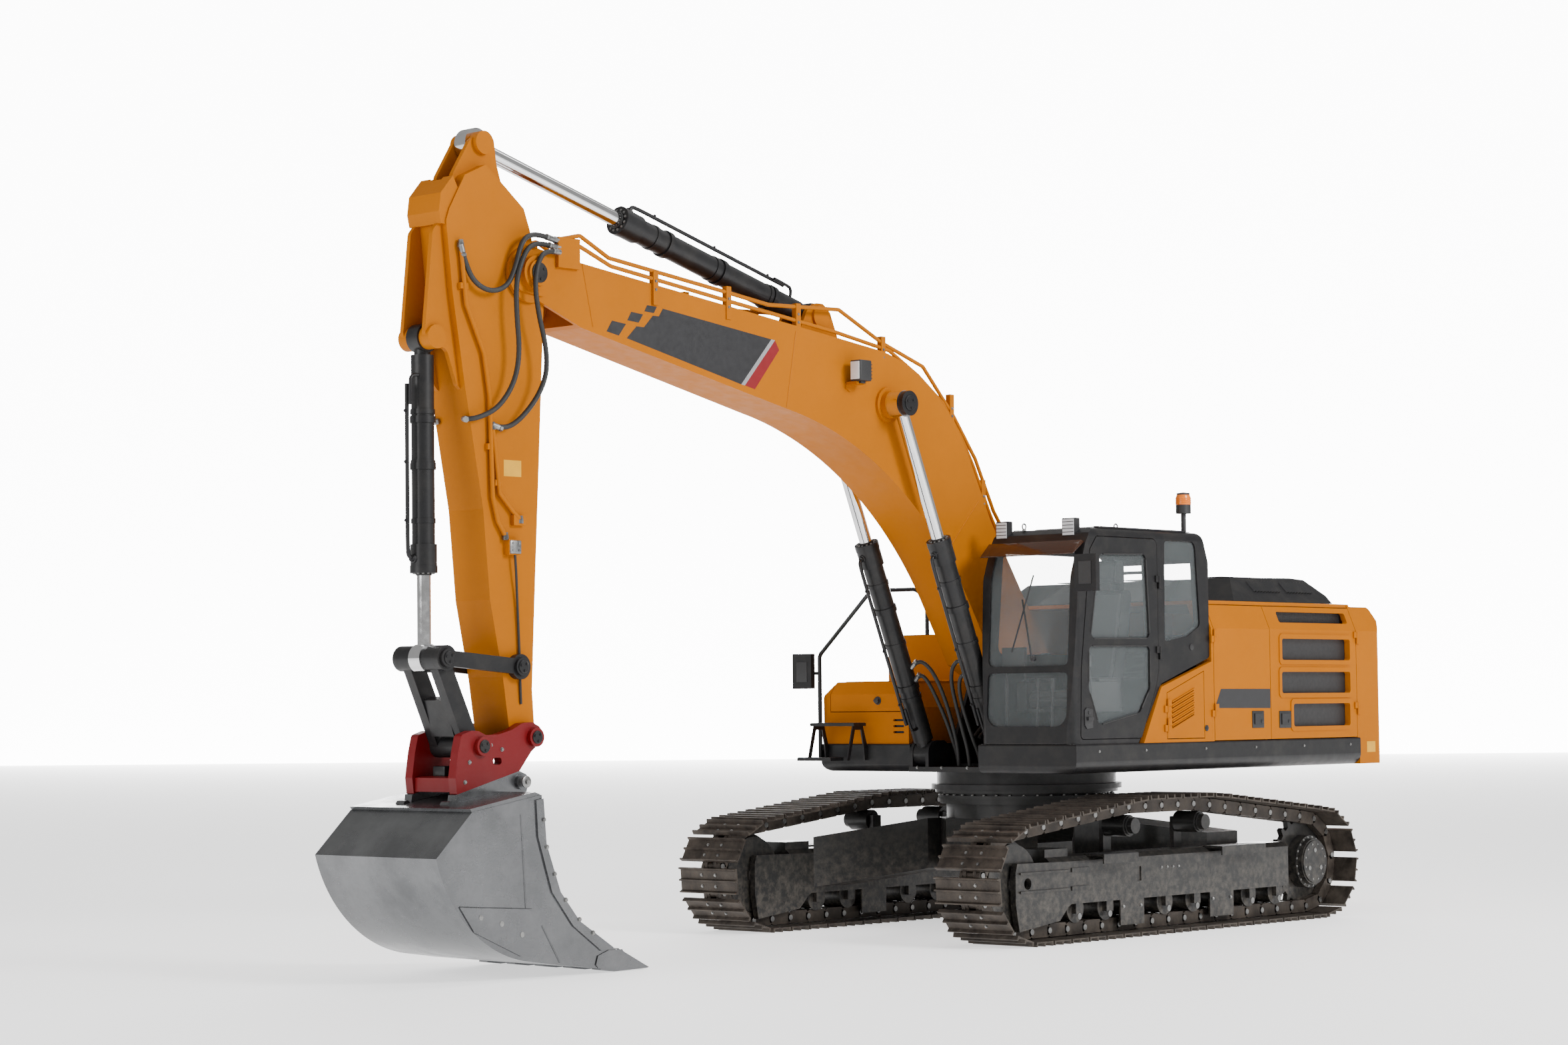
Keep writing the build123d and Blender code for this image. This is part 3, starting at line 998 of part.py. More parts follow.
def bucket_outline(inset):
    """Side view of the bowl, or of the room in it with the plate's thickness as inset."""
    lip = (LIP_TIP[0] + 311, LIP_TIP[1] + 4)
    floor = (HEEL[0] - 294, HEEL[1] - 44)
    if inset == 0:
        mouth = [Line(RIM_BACK, RIM_FRONT), Line(RIM_FRONT, (RIM_FRONT[0] - 6, 999)),
                 ThreePointArc((RIM_FRONT[0] - 6, 999), (5774, 505), LIP_TOP), Line(LIP_TOP, LIP_TIP),
                 Line(LIP_TIP, lip)]
    else:
        inside = (lip[0], lip[1] + inset)
        over = (RIM_FRONT[0] - 130, RIM_FRONT[1] - inset + 20)
        mouth = [Line((RIM_BACK[0] - 13, RIM_BACK[1] - inset), over),
                 Line(over, (LIP_TIP[0], LIP_TIP[1] + 400)),
                 Line((LIP_TIP[0], LIP_TIP[1] + 400), (LIP_TIP[0] + 100, LIP_TIP[1] + inset)),
                 Line((LIP_TIP[0] + 100, LIP_TIP[1] + inset), inside)]
        lip = inside
        floor = (floor[0], floor[1] + inset)
    heel, back = (HEEL[0] - inset / 5, HEEL[1] + inset), (BACK[0] - inset, BACK[1] - inset / 2.5)
    roll = (6665 - 0.75 * inset, 460 + 0.75 * inset)
    mouth += [Line(lip, floor), Line(floor, heel), ThreePointArc(heel, roll, back)]
    return make_face(mouth + [Line(back, (RIM_BACK[0] - 13 * inset / BUCKET_WALL, RIM_BACK[1] - inset))])


def bucket():
    """Open bowl with side plates, a cutting lip with teeth, wear plates and hanger ears."""
    half = BUCKET_HALF
    body = slab(bucket_outline(0), -half, half) - slab(bucket_outline(BUCKET_WALL), BUCKET_WALL - half,
                                                          half - BUCKET_WALL)
    hanger = outline([(6440, 1108), (6384, 1150), (6374, 1208 - SEAT_GAP), (5803, 1354 - SEAT_GAP),
                      (5740, 1330),
                      (5717, 1280), (5740, 1215), (5800, 1180), (5935, 1150)])
    side_cutter = outline([(5925, 1180), (5990, 1170), (5975, 930), (5850, 560), (5660, 330), (5400, 150),
                           (5285, 165), (5601, 360), (5774, 560), (5900, 880)])
    wear = outline([(6052, 461), (6663, 504), (6536, 336), (6130, 160), (5881, 151)])
    tooth = outline([(5400, 62), (5330, 125), (5232, 157), (LIP_TIP[0] - 46, 12), (LIP_TIP[0] - 30, 8),
                     (5275, 4),
                     (5400, 22)])
    for side in (1, -1):
        body += slab(hanger, *between(side, STICK_HALF + 6, HITCH_HALF))
        body += slab(side_cutter, *between(side, half - 2, half + 12))
        body += slab(wear, *between(side, half - 2, half + 9))
        body += cross_pin((5794, 1281), 52, *between(side, HITCH_HALF - 1, HITCH_HALF + 24))
        body += cross_pin((6420, 1140), 30, *between(side, STICK_HALF + 7, HITCH_HALF + 10))
    for number in range(TOOTH_COUNT):
        y = (half - 42) * (2 * number / (TOOTH_COUNT - 1) - 1)
        body += slab(tooth, y - 42, y + 42)
    stiffener = outline([(5935, 1204), (6545, 1106), (6560, 1128), (5990, 1222)])
    return body + slab(stiffener, -half + 4, half - 4)


nodes["bucket"] = bucket()

# ---------------------------------------------------------------- export
whole = group(nodes.values()).bounding_box()
SHIFT = (-(whole.min.X + whole.max.X) / 2, -(whole.min.Y + whole.max.Y) / 2, -whole.min.Z)
for name, shape in nodes.items():
    export_step(Pos(*SHIFT) * shape, "parts/" + name + ".step")
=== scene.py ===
import bpy
import bmesh
import math
from mathutils import Matrix, Vector


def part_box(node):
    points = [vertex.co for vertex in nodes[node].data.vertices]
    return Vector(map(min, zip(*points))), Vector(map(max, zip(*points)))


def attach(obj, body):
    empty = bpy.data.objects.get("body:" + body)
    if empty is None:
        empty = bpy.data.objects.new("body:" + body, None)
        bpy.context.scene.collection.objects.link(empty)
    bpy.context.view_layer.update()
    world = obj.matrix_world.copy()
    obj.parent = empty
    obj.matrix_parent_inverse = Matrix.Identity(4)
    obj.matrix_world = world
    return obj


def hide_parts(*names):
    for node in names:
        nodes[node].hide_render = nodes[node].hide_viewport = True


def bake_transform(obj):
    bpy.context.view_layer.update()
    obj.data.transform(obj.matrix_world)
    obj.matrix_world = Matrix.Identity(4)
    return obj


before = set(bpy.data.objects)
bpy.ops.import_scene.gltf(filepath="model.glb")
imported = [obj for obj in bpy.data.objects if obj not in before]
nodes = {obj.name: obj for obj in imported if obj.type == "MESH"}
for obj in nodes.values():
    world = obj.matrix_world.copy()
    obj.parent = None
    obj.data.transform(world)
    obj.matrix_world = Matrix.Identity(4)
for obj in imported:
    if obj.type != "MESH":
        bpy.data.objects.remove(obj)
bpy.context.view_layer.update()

# ------------------------------------------------------------------ places
ring_low, ring_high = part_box("slewing_ring")
CENTRE_X = (ring_low[0] + ring_high[0]) / 2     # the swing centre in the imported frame


def at(x, y, z):
    """A point given in millimetres from the swing centre on the ground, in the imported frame."""
    return Vector((CENTRE_X + x / 1000, y / 1000, z / 1000))


# ------------------------------------------------------------------ camera
CAMERA_PLACE = (20508, 16017, 1785)             # millimetres
CAMERA_TURN = (222.252, 3.232, -0.562)          # yaw, pitch and roll in degrees
camera_data = bpy.data.cameras.new("camera")
camera = bpy.data.objects.new("camera", camera_data)
bpy.context.scene.collection.objects.link(camera)
camera_data.sensor_width = 36.0
camera_data.lens = 73.66
camera_data.clip_end = 200
yaw, pitch, roll = (math.radians(a) for a in CAMERA_TURN)
forward = Vector((math.cos(yaw) * math.cos(pitch), math.sin(yaw) * math.cos(pitch), math.sin(pitch)))
right = Vector((math.sin(yaw), -math.cos(yaw), 0))
up = right.cross(forward)
right_rolled = math.cos(roll) * right + math.sin(roll) * up
up_rolled = right_rolled.cross(forward)
turn = Matrix((right_rolled, up_rolled, -forward)).transposed().to_4x4()
camera.matrix_world = Matrix.Translation(at(*CAMERA_PLACE)) @ turn
bpy.context.scene.camera = camera


# ------------------------------------------------------------------ materials
def new_material(name):
    material = bpy.data.materials.new(name)
    material.use_nodes = True
    tree = material.node_tree
    return material, tree, tree.nodes["Principled BSDF"]


def noise(tree, scale, detail=4.0, rough=0.55, stretch=(1, 1, 1)):
    """Noise over the piece's own coordinates, in metres."""
    place = tree.nodes.new("ShaderNodeTexCoord")
    mapping = tree.nodes.new("ShaderNodeMapping")
    mapping.inputs["Scale"].default_value = stretch
    texture = tree.nodes.new("ShaderNodeTexNoise")
    texture.inputs["Scale"].default_value = scale
    texture.inputs["Detail"].default_value = detail
    texture.inputs["Roughness"].default_value = rough
    tree.links.new(place.outputs["Object"], mapping.inputs["Vector"])
    tree.links.new(mapping.outputs["Vector"], texture.inputs["Vector"])
    return texture.outputs["Fac"]


def ramp(tree, source, low, high, dark=0.0, light=1.0):
    """The source stretched from low..high to dark..light."""
    span = tree.nodes.new("ShaderNodeMapRange")
    for socket, value in (("From Min", low), ("From Max", high), ("To Min", dark), ("To Max", light)):
        span.inputs[socket].default_value = value
    tree.links.new(source, span.inputs["Value"])
    return span.outputs["Result"]


def mix(tree, factor, first, second):
    """Colours mixed by a factor; each may be a colour or a socket."""
    blend = tree.nodes.new("ShaderNodeMix")
    blend.data_type = "RGBA"
    tree.links.new(factor, blend.inputs[0])
    for socket, value in ((blend.inputs[6], first), (blend.inputs[7], second)):
        if isinstance(value, tuple):
            socket.default_value = (*value, 1)
        else:
            tree.links.new(value, socket)
    return blend.outputs[2]


def times(tree, first, second):
    node = tree.nodes.new("ShaderNodeMath")
    node.operation = "MULTIPLY"
    tree.links.new(first, node.inputs[0])
    tree.links.new(second, node.inputs[1])
    return node.outputs[0]


def bump(tree, shader, source, strength, distance):
    node = tree.nodes.new("ShaderNodeBump")
    node.inputs["Strength"].default_value = strength
    node.inputs["Distance"].default_value = distance
    tree.links.new(source, node.inputs["Height"])
    tree.links.new(node.outputs["Normal"], shader.inputs["Normal"])


def painted(name, colour, roughness=0.38, coat=0.25, dust=(0.30, 0.26, 0.21), dust_share=0.10,
            splash_high=1.2, splash_share=0.35, sheen=0.3):
    """Sprayed steel: slight tone changes, orange-peel bump, thin dust and some splashes low down."""
    material, tree, shader = new_material(name)
    tone = ramp(tree, noise(tree, 1.3, 4.0), 0.3, 0.7)
    base = mix(tree, tone, tuple(c * 0.90 for c in colour), colour)
    film = ramp(tree, noise(tree, 6.0, 9.0, 0.6), 0.45, 0.85, 0.0, dust_share)
    base = mix(tree, film, base, dust)
    geometry = tree.nodes.new("ShaderNodeNewGeometry")
    split = tree.nodes.new("ShaderNodeSeparateXYZ")
    tree.links.new(geometry.outputs["Position"], split.inputs[0])
    low = ramp(tree, split.outputs["Z"], 0.1, splash_high, splash_share, 0.0)
    splash = times(tree, ramp(tree, noise(tree, 18.0, 10.0, 0.7), 0.42, 0.72), low)
    base = mix(tree, splash, base, dust)
    tree.links.new(base, shader.inputs["Base Color"])
    gloss = ramp(tree, noise(tree, 11.0, 6.0, 0.6), 0.3, 0.7, roughness - 0.05, roughness + 0.08)
    tree.links.new(gloss, shader.inputs["Roughness"])
    shader.inputs["Specular IOR Level"].default_value = sheen
    shader.inputs["Coat Weight"].default_value = coat
    shader.inputs["Coat Roughness"].default_value = 0.12
    bump(tree, shader, noise(tree, 240.0, 3.0, 0.5), 0.04, 0.001)
    return material


def worn_steel(name, dark, light, roughness=0.5, metallic=0.6, scale=7.0, depth=0.003):
    """Bare or scuffed steel: bright rub marks over a darker, rusty skin."""
    material, tree, shader = new_material(name)
    marks = ramp(tree, noise(tree, scale, 12.0, 0.68), 0.36, 0.66)
    base = mix(tree, marks, dark, light)
    tree.links.new(base, shader.inputs["Base Color"])
    tree.links.new(ramp(tree, noise(tree, scale * 2, 8.0), 0.3, 0.7, roughness - 0.1, roughness + 0.12),
                   shader.inputs["Roughness"])
    shader.inputs["Metallic"].default_value = metallic
    bump(tree, shader, noise(tree, 70.0, 8.0, 0.6), 0.2, depth)
    return material


def plain(name, colour, roughness, metallic=0.0, fine=90.0, grain=0.05, depth=0.001):
    """Even surface with a fine grain."""
    material, tree, shader = new_material(name)
    tone = ramp(tree, noise(tree, fine * 0.1, 4.0), 0.3, 0.7)
    tree.links.new(mix(tree, tone, tuple(c * 0.88 for c in colour), colour), shader.inputs["Base Color"])
    shader.inputs["Metallic"].default_value = metallic
    tree.links.new(ramp(tree, noise(tree, fine * 0.3, 4.0), 0.3, 0.7,
                        roughness - 0.04, roughness + 0.06), shader.inputs["Roughness"])
    bump(tree, shader, noise(tree, fine, 3.0, 0.5), grain, depth)
    return material


def clear(name, colour, roughness=0.02, density=0.1):
    """Tinted pane: part see-through, part glossy."""
    material, tree, shader = new_material(name)
    shader.inputs["Base Color"].default_value = (*colour, 1)
    shader.inputs["Roughness"].default_value = roughness
    tree.links.new(ramp(tree, noise(tree, 0.8, 2.0), 0.3, 0.7, density, density + 0.02),
                   shader.inputs["Alpha"])
    return material


def perforated(name, colour, pitch):
    """Sheet with rows of round holes, drawn as near-black dots of painted shade with a sunken edge."""
    material, tree, shader = new_material(name)
    place = tree.nodes.new("ShaderNodeTexCoord")
    cells = tree.nodes.new("ShaderNodeTexVoronoi")
    cells.inputs["Scale"].default_value = 1 / pitch
    cells.inputs["Randomness"].default_value = 0.0
    tree.links.new(place.outputs["Object"], cells.inputs["Vector"])
    sheet = ramp(tree, cells.outputs["Distance"], 0.36, 0.44)
    # near-black in the holes is painted shade for the dark gap behind the sheet
    tree.links.new(mix(tree, sheet, (0.002, 0.002, 0.002), colour), shader.inputs["Base Color"])
    tree.links.new(ramp(tree, noise(tree, 30.0), 0.3, 0.7, 0.42, 0.55), shader.inputs["Roughness"])
    bump(tree, shader, sheet, 0.6, 0.004)
    return material


YELLOW = painted("paint_yellow", (0.44, 0.130, 0.0001), 0.42, 0.0, dust=(0.24, 0.12, 0.03),
                 dust_share=0.04, splash_high=1.6, splash_share=0.15, sheen=0.08)
BLACK = painted("paint_black", (0.008, 0.008, 0.009), 0.42, 0.10, dust_share=0.05, splash_share=0.12)
UNDER = painted("paint_undercarriage", (0.012, 0.012, 0.012), 0.40, 0.15, dust_share=0.03,
                splash_high=0.9, splash_share=0.30)
TRACK = worn_steel("track_steel", (0.028, 0.022, 0.018), (0.090, 0.074, 0.060), 0.55, 0.45)
STEEL = worn_steel("bolt_steel", (0.16, 0.16, 0.16), (0.34, 0.34, 0.33), 0.38, 0.9, 20.0, 0.001)
CHROME = plain("chrome", (0.80, 0.80, 0.81), 0.10, 1.0, 60.0, 0.01)
RED = painted("paint_red", (0.16, 0.001, 0.003), 0.40, 0.03, dust_share=0.03, splash_share=0.1)
GREY = worn_steel("bucket_grey", (0.110, 0.113, 0.117), (0.190, 0.194, 0.200), 0.27, 0.85, 1.6, 0.0015)
CLOTH = plain("seat_cloth", (0.030, 0.030, 0.032), 0.9, 0.0, 400.0, 0.4)
ENGINE = painted("engine_paint", (0.06, 0.06, 0.06), 0.5, 0.05)
PLASTIC = plain("moulded_plastic", (0.018, 0.018, 0.019), 0.5, 0.0, 200.0, 0.15)
RUBBER = plain("hose_rubber", (0.014, 0.014, 0.014), 0.6, 0.0, 150.0, 0.2)
DECAL = plain("blank_decal", (0.022, 0.022, 0.024), 0.35)
DECAL_GREY = plain("blank_decal_grey", (0.30, 0.30, 0.31), 0.4)
DECAL_RED = plain("blank_decal_red", (0.22, 0.002, 0.006), 0.4)
DECAL_ORANGE = plain("blank_decal_orange", (0.72, 0.36, 0.002), 0.4)
GLASS = clear("clear_glass", (0.36, 0.40, 0.41), 0.02, 0.10)
VISOR = clear("smoked_visor", (0.050, 0.020, 0.010), 0.10, 0.80)
AMBER = plain("amber_lens", (0.85, 0.20, 0.01), 0.15)
LENS = plain("lamp_lens", (0.75, 0.76, 0.78), 0.08)
MESH_SHEET = perforated("perforated_sheet", (0.018, 0.018, 0.019), 0.014)
TREAD_SHEET = perforated("perforated_tread", (0.045, 0.045, 0.047), 0.034)

FINISH = [
    (YELLOW, ["boom", "stick", "counterweight", "side_door_front", "side_door_rear", "low_door",
              "cab_fairing", "right_body", "tool_box", "body_frame", "tool_box_lid"]),
    (BLACK, ["cab", "cab_door", "swing_frame", "engine_hood", "boom_cylinder_barrels",
             "arm_cylinder_barrel", "bucket_cylinder_barrel", "side_links", "bucket_link",
             "boom_pin_caps", "rails_and_mirrors"]),
    (UNDER, ["centre_frame", "slewing_ring", "track_frame_left", "track_frame_right", "rollers_left",
             "rollers_right", "idler_left", "idler_right", "sprocket_left", "sprocket_right"]),
    (TRACK, ["track_left", "track_right"]),
    (CHROME, ["boom_cylinder_rods", "arm_cylinder_rod", "bucket_cylinder_rod"]),
    (RED, ["hitch"]), (GREY, ["bucket"]), (PLASTIC, ["seat", "cab_lamps"]), (ENGINE, ["engine_block"]),
    (GLASS, ["cab_glass", "door_glass"]),
]
for material, names in FINISH:
    for name in names:
        mesh = nodes[name].data
        mesh.materials.clear()
        mesh.materials.append(material)


# ------------------------------------------------------------------ shaping
def piece(name, bm, material, body, angle=35):
    """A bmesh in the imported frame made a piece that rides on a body."""
    bmesh.ops.recalc_face_normals(bm, faces=bm.faces)
    mesh = bpy.data.meshes.new(name)
    bm.to_mesh(mesh)
    bm.free()
    mesh.polygons.foreach_set("use_smooth", [True] * len(mesh.polygons))
    mesh.set_sharp_from_angle(angle=math.radians(angle))
    mesh.materials.append(material)
    made = bpy.data.objects.new(name, mesh)
    bpy.context.scene.collection.objects.link(made)
    if body:
        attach(made, body)
    return made


def loft(bm, rings):
    """Quads between rings of vertices, with caps at both ends."""
    loops = [[bm.verts.new(p) for p in ring] for ring in rings]
    count = len(loops[0])
    for one, two in zip(loops, loops[1:]):
        for i in range(count):
            j = (i + 1) % count
            bm.faces.new((one[i], one[j], two[j], two[i]))
    bm.faces.new(loops[0][::-1])
    bm.faces.new(loops[-1])


def rounded(bm, start, width, segments=2):
    """Bevels the edges of what was added after the first start faces."""
    bm.faces.ensure_lookup_table()
    faces = bm.faces[start:]
    edges = {e for f in faces for e in f.edges}
    bmesh.ops.bevel(bm, geom=list(edges), offset=width / 1000, segments=segments,
                    affect="EDGES", profile=0.5, clamp_overlap=True)


def prism(bm, axis, points, low, high, bevel=0.0, segments=2):
    """Outline made solid along an axis: x takes (y, z), y takes (x, z), z takes (x, y)."""
    def place(p, v):
        return at(*{"x": (v, p[0], p[1]), "y": (p[0], v, p[1]), "z": (p[0], p[1], v)}[axis])
    start = len(bm.faces)
    loft(bm, [[place(p, low) for p in points], [place(p, high) for p in points]])
    if bevel:
        rounded(bm, start, bevel, segments)


def slab(bm, x, y, z, bevel=0.0, segments=2):
    """Block between pairs of x, y and z."""
    prism(bm, "y", [(x[0], z[0]), (x[1], z[0]), (x[1], z[1]), (x[0], z[1])], *sorted(y), bevel, segments)


def lathe(bm, foot, heading, stations, sides=24):
    """Round body along a heading from a foot. Stations: distance, radius."""
    heading = Vector(heading).normalized()
    across = heading.orthogonal().normalized()
    other = heading.cross(across)
    foot = Vector(foot)
    rings = []
    for distance, radius in stations:
        ring = []
        for i in range(sides):
            turn = 2 * math.pi * (i + 0.5) / sides
            ring.append(at(*(foot + heading * distance + radius * (math.cos(turn) * across
                                                                    + math.sin(turn) * other))))
        rings.append(ring)
    loft(bm, rings)


def band(bm, foot, heading, inner, outer, half, sides=32):
    """Flat ring around a round body."""
    start = len(bm.faces)
    section = [(-half, inner), (-half, outer), (half, outer), (half, inner), (-half, inner)]
    lathe(bm, foot, heading, section, sides)
    bm.faces.ensure_lookup_table()
    caps = [face for face in bm.faces[start:] if len(face.verts) > 4]
    rims = list({vert for face in caps for vert in face.verts})
    bmesh.ops.delete(bm, geom=caps, context="FACES_ONLY")
    bmesh.ops.remove_doubles(bm, verts=rims, dist=1e-6)


def bar(bm, start, end, radius, sides=16):
    start, end = Vector(start), Vector(end)
    lathe(bm, start, end - start, [(0, radius), ((end - start).length, radius)], sides)


def bolt(bm, place, heading, size):
    """Hexagon head on a washer."""
    lathe(bm, place, heading, [(-1, size * 1.25), (size * 0.18, size * 1.25)], 12)
    lathe(bm, place, heading, [(0, size), (size * 0.75, size), (size * 0.9, size * 0.8)], 6)


def bolt_circle(bm, centre, heading, radius, count, size, first=0.0):
    heading = Vector(heading).normalized()
    across = heading.orthogonal().normalized()
    other = heading.cross(across)
    for i in range(count):
        turn = first + 2 * math.pi * i / count
        place = Vector(centre) + radius * (math.cos(turn) * across + math.sin(turn) * other)
        bolt(bm, place, heading, size)


def route(points):
    """The route's NURBS line, read from a curve without bevel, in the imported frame."""
    curve = bpy.data.curves.new("route", "CURVE")
    curve.dimensions = "3D"
    curve.resolution_u = 12
    spline = curve.splines.new("NURBS")
    spline.points.add(len(points) - 1)
    for control, p in zip(spline.points, points):
        control.co = (*at(*p), 1)
    spline.order_u = 3
    spline.use_endpoint_u = True
    holder = bpy.data.objects.new("route", curve)
    line = bpy.data.meshes.new_from_object(holder)
    path = [v.co.copy() for v in line.vertices]
    bpy.data.objects.remove(holder)
    return path


def tube(bm, path, radius, sides=12, ripple=0.0):
    """Round tube along a path read from a route, its radius in millimetres."""
    rings = []
    side = None
    for i, p in enumerate(path):
        ahead = (path[min(i + 1, len(path) - 1)] - path[max(i - 1, 0)]).normalized()
        side = ahead.orthogonal() if side is None else side - ahead * side.dot(ahead)
        side.normalize()
        other = ahead.cross(side)
        reach = (radius + (ripple if i % 2 else 0)) / 1000
        rings.append([p + reach * (math.cos(t) * side + math.sin(t) * other)
                      for t in (2 * math.pi * k / sides for k in range(sides))])
    loft(bm, rings)


def both(table):
    """The rows of a table for the left and for the right side."""
    return [(side, row) for side in (1, -1) for row in table]


# ------------------------------------------------------------------ hoses across the joints
def hose(name, points, radius):
    """Rubber hose between two bodies, following its route's NURBS line; it rides on neither body."""
    path = route(points)
    bm = bmesh.new()
    tube(bm, path, radius, 12, 1.0)
    made = piece(name, bm, RUBBER, None, 60)
    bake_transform(made)


def crimp(bm, place, heading, radius):
    """Pressed steel fitting with its nut, on a hose's end."""
    lathe(bm, place, heading, [(-8, radius * 0.9), (-4, radius * 1.22), (52, radius * 1.22),
                               (56, radius * 0.9), (60, radius * 0.9)], 16)
    lathe(bm, place, heading, [(58, radius * 1.3), (78, radius * 1.3)], 6)


# boom's tip to the stick: x, y, z of each hose's points, on the cab's side
JOINT_HOSES = [
    ("a", [(5430, 216, 4968), (5550, 228, 4985), (5690, 252, 4972), (5775, 262, 4905), (5825, 262, 4739),
           (5895, 258, 4600), (6031, 244, 4550), (6160, 225, 4600), (6225, 205, 4720),
           (6262, 199, 4850)]),
    ("b", [(5410, 216, 4915), (5560, 236, 4930), (5700, 268, 4895), (5780, 282, 4800), (5845, 286, 4633),
           (5840, 286, 4407), (5812, 286, 4160), (5856, 280, 3951), (5985, 262, 3776), (6130, 232, 3705),
           (6215, 190, 3690), (6176, 130, 3700)]),
    ("c", [(5405, 246, 4880), (5540, 270, 4880), (5650, 300, 4800), (5692, 306, 4626), (5655, 306, 4422),
           (5588, 304, 4219), (5575, 300, 4032), (5650, 282, 3861), (5790, 250, 3700), (5900, 215, 3640),
           (5985, 199, 3665)]),
]
# boom cylinders to the deck, between the cylinders
LIFT_HOSES = [
    ("a", [(1080, 286, 2060), (1085, 215, 2120), (1070, 120, 2070), (1020, 62, 1940), (930, 44, 1740),
           (850, 44, 1540), (800, 50, 1400), (790, 55, 1284)]),
    ("b", [(1036, 287, 1960), (1050, 225, 2010), (1040, 160, 1960), (980, 120, 1820), (880, 104, 1640),
           (800, 104, 1480), (740, 108, 1370), (720, 112, 1284)]),
]
crimps = {"boom": bmesh.new(), "arm": bmesh.new(), "boom_cylinder_barrels": bmesh.new()}
for side, (name, points) in both(JOINT_HOSES):
    points = [(x, side * y, z) for x, y, z in points]
    hose("joint_hose_" + name + ("_left" if side > 0 else "_right"), points, 17.0)
    crimp(crimps["boom"], points[0], Vector(points[1]) - Vector(points[0]), 17.0)
    crimp(crimps["arm"], points[-1], Vector(points[-2]) - Vector(points[-1]), 17.0)
for side, (name, points) in both(LIFT_HOSES):
    points = [(x, side * y, z) for x, y, z in points]
    hose("lift_hose_" + name + ("_left" if side > 0 else "_right"), points, 15.0)
    crimp(crimps["boom_cylinder_barrels"], points[0], Vector(points[1]) - Vector(points[0]), 15.0)
for body, bm in crimps.items():
    piece("hose_fittings_" + body, bm, STEEL, body)


# ------------------------------------------------------------------ cylinders' pipes, glands and pins
def unit(a, b):
    return (Vector(b) - Vector(a)).normalized()


# foot pin, head pin, y, barrel radius, foot pin to gland, body of the barrel
CYLINDERS = [
    ((804, 1377), (1960, 4046), 365, 80, 1803, "boom_cylinder_barrels"),
    ((804, 1377), (1960, 4046), -365, 80, 1803, "boom_cylinder_barrels"),
    ((2600, 4680), (5980, 5580), 0, 88, 2067, "arm_cylinder_barrel"),
    ((6430, 4230), (6420, 2107), 0, 76, 1560, "bucket_cylinder_barrel"),
]
for number, (foot, head, y, radius, gland, barrel_body) in enumerate(CYLINDERS):
    foot, head = Vector((foot[0], y, foot[1])), Vector((head[0], y, head[1]))
    ahead = unit(foot, head)
    above = Vector((0, 1, 0)).cross(ahead) if ahead.x < 0.9 else Vector((-ahead.z, 0, ahead.x))
    above = above if above.x > 0 or ahead.x > 0.9 else -above
    bm = bmesh.new()
    bolt_circle(bm, foot + ahead * (gland - 1), ahead, radius * 0.86, 12, 9)
    piece("gland_bolts_%d" % number, bm, STEEL, barrel_body)
    bm = bmesh.new()
    lathe(bm, foot + ahead * (gland - 4), ahead, [(0, radius * 0.70), (14, radius * 0.72),
                                                  (20, radius * 0.66)], 32)
    piece("wiper_seal_%d" % number, bm, RUBBER, barrel_body)
    bm = bmesh.new()
    port, base = gland - 95, 190                # the two oil ports, from the foot pin
    rise, bend = radius + 62, radius + 52       # the pipe's line and its bends, from the barrel's axis
    out = [foot + ahead * along + above * lift for along, lift in
           ((port, radius * 0.9), (port, bend), (port - 60, rise), (port - 300, rise),
            (base + 260, rise), (base + 120, rise), (base + 60, bend), (base + 60, radius * 0.9))]
    tube(bm, route(out[:6]), 14, 12)
    tube(bm, route([p + Vector((0, 34, 0)) for p in (out[7], out[6], out[5], out[4])]), 12, 12)
    lathe(bm, foot + ahead * port + above * (radius - 4), above,
          [(0, 30), (22, 30), (26, 22), (40, 22)], 16)
    piece("cylinder_pipes_%d" % number, bm, BLACK, barrel_body)
    bm = bmesh.new()
    for along in (base + 300, (port + base) / 2, port - 250):
        place = foot + ahead * along
        band(bm, place, ahead, radius - 2, radius + 6, 16)
        bolt(bm, place + above * (radius + 78), above, 9)
    piece("pipe_straps_%d" % number, bm, BLACK, barrel_body)

PIN_ENDS = [  # x, z, y of the face, radius, body
    (5630, 4715, 289, 70, "boom"), (1960, 4046, 470, 60, "boom"),
    (120, 2000, 325, 70, "upper_structure"), (804, 1377, 477, 44, "upper_structure"),
    (6420, 2107, 246, 44, "side_links"), (5756, 2050, 246, 44, "side_links"),
    (6146, 1523, 284, 44, "bucket"), (5669, 1577, 284, 44, "bucket"),
]
pin_parts = {}
for side, (x, z, y, radius, body) in both(PIN_ENDS):
    bm = pin_parts.setdefault(body, bmesh.new())
    lathe(bm, (x, side * y, z), (0, side, 0), [(-2, radius), (6, radius), (9, radius - 4)], 32)
    bolt_circle(bm, (x, side * (y + 8), z), (0, side, 0), radius * 0.62, 3, 9, 0.4)
for body, bm in pin_parts.items():
    piece("pin_plates_" + body, bm, BLACK, body)

# ------------------------------------------------------------------ track chains
GAUGE, PITCH, LINK, SHOE = 2590.0, 216.0, 105.0, 600.0
TEETH = 21
REACH = TEETH * PITCH / (4 * math.pi)           # pitch radius of the sprocket
GROUSER = 25                                    # height of the shoes' bars over their plates
AXLE_X, AXLE_Z = 3905.0 / 2, REACH + LINK / 2 + 12 + GROUSER
CARRIERS = (520.0, -410.0)
CARRIER_RISE = 828 + 83 + 8 + LINK / 2          # carrier's axle, its radius, the gap and half a link
RAIL_IN, RAIL_MIDDLE, RAIL_OUT = 32.0, 62.0, 93.0    # faces of the link plates, from the middle


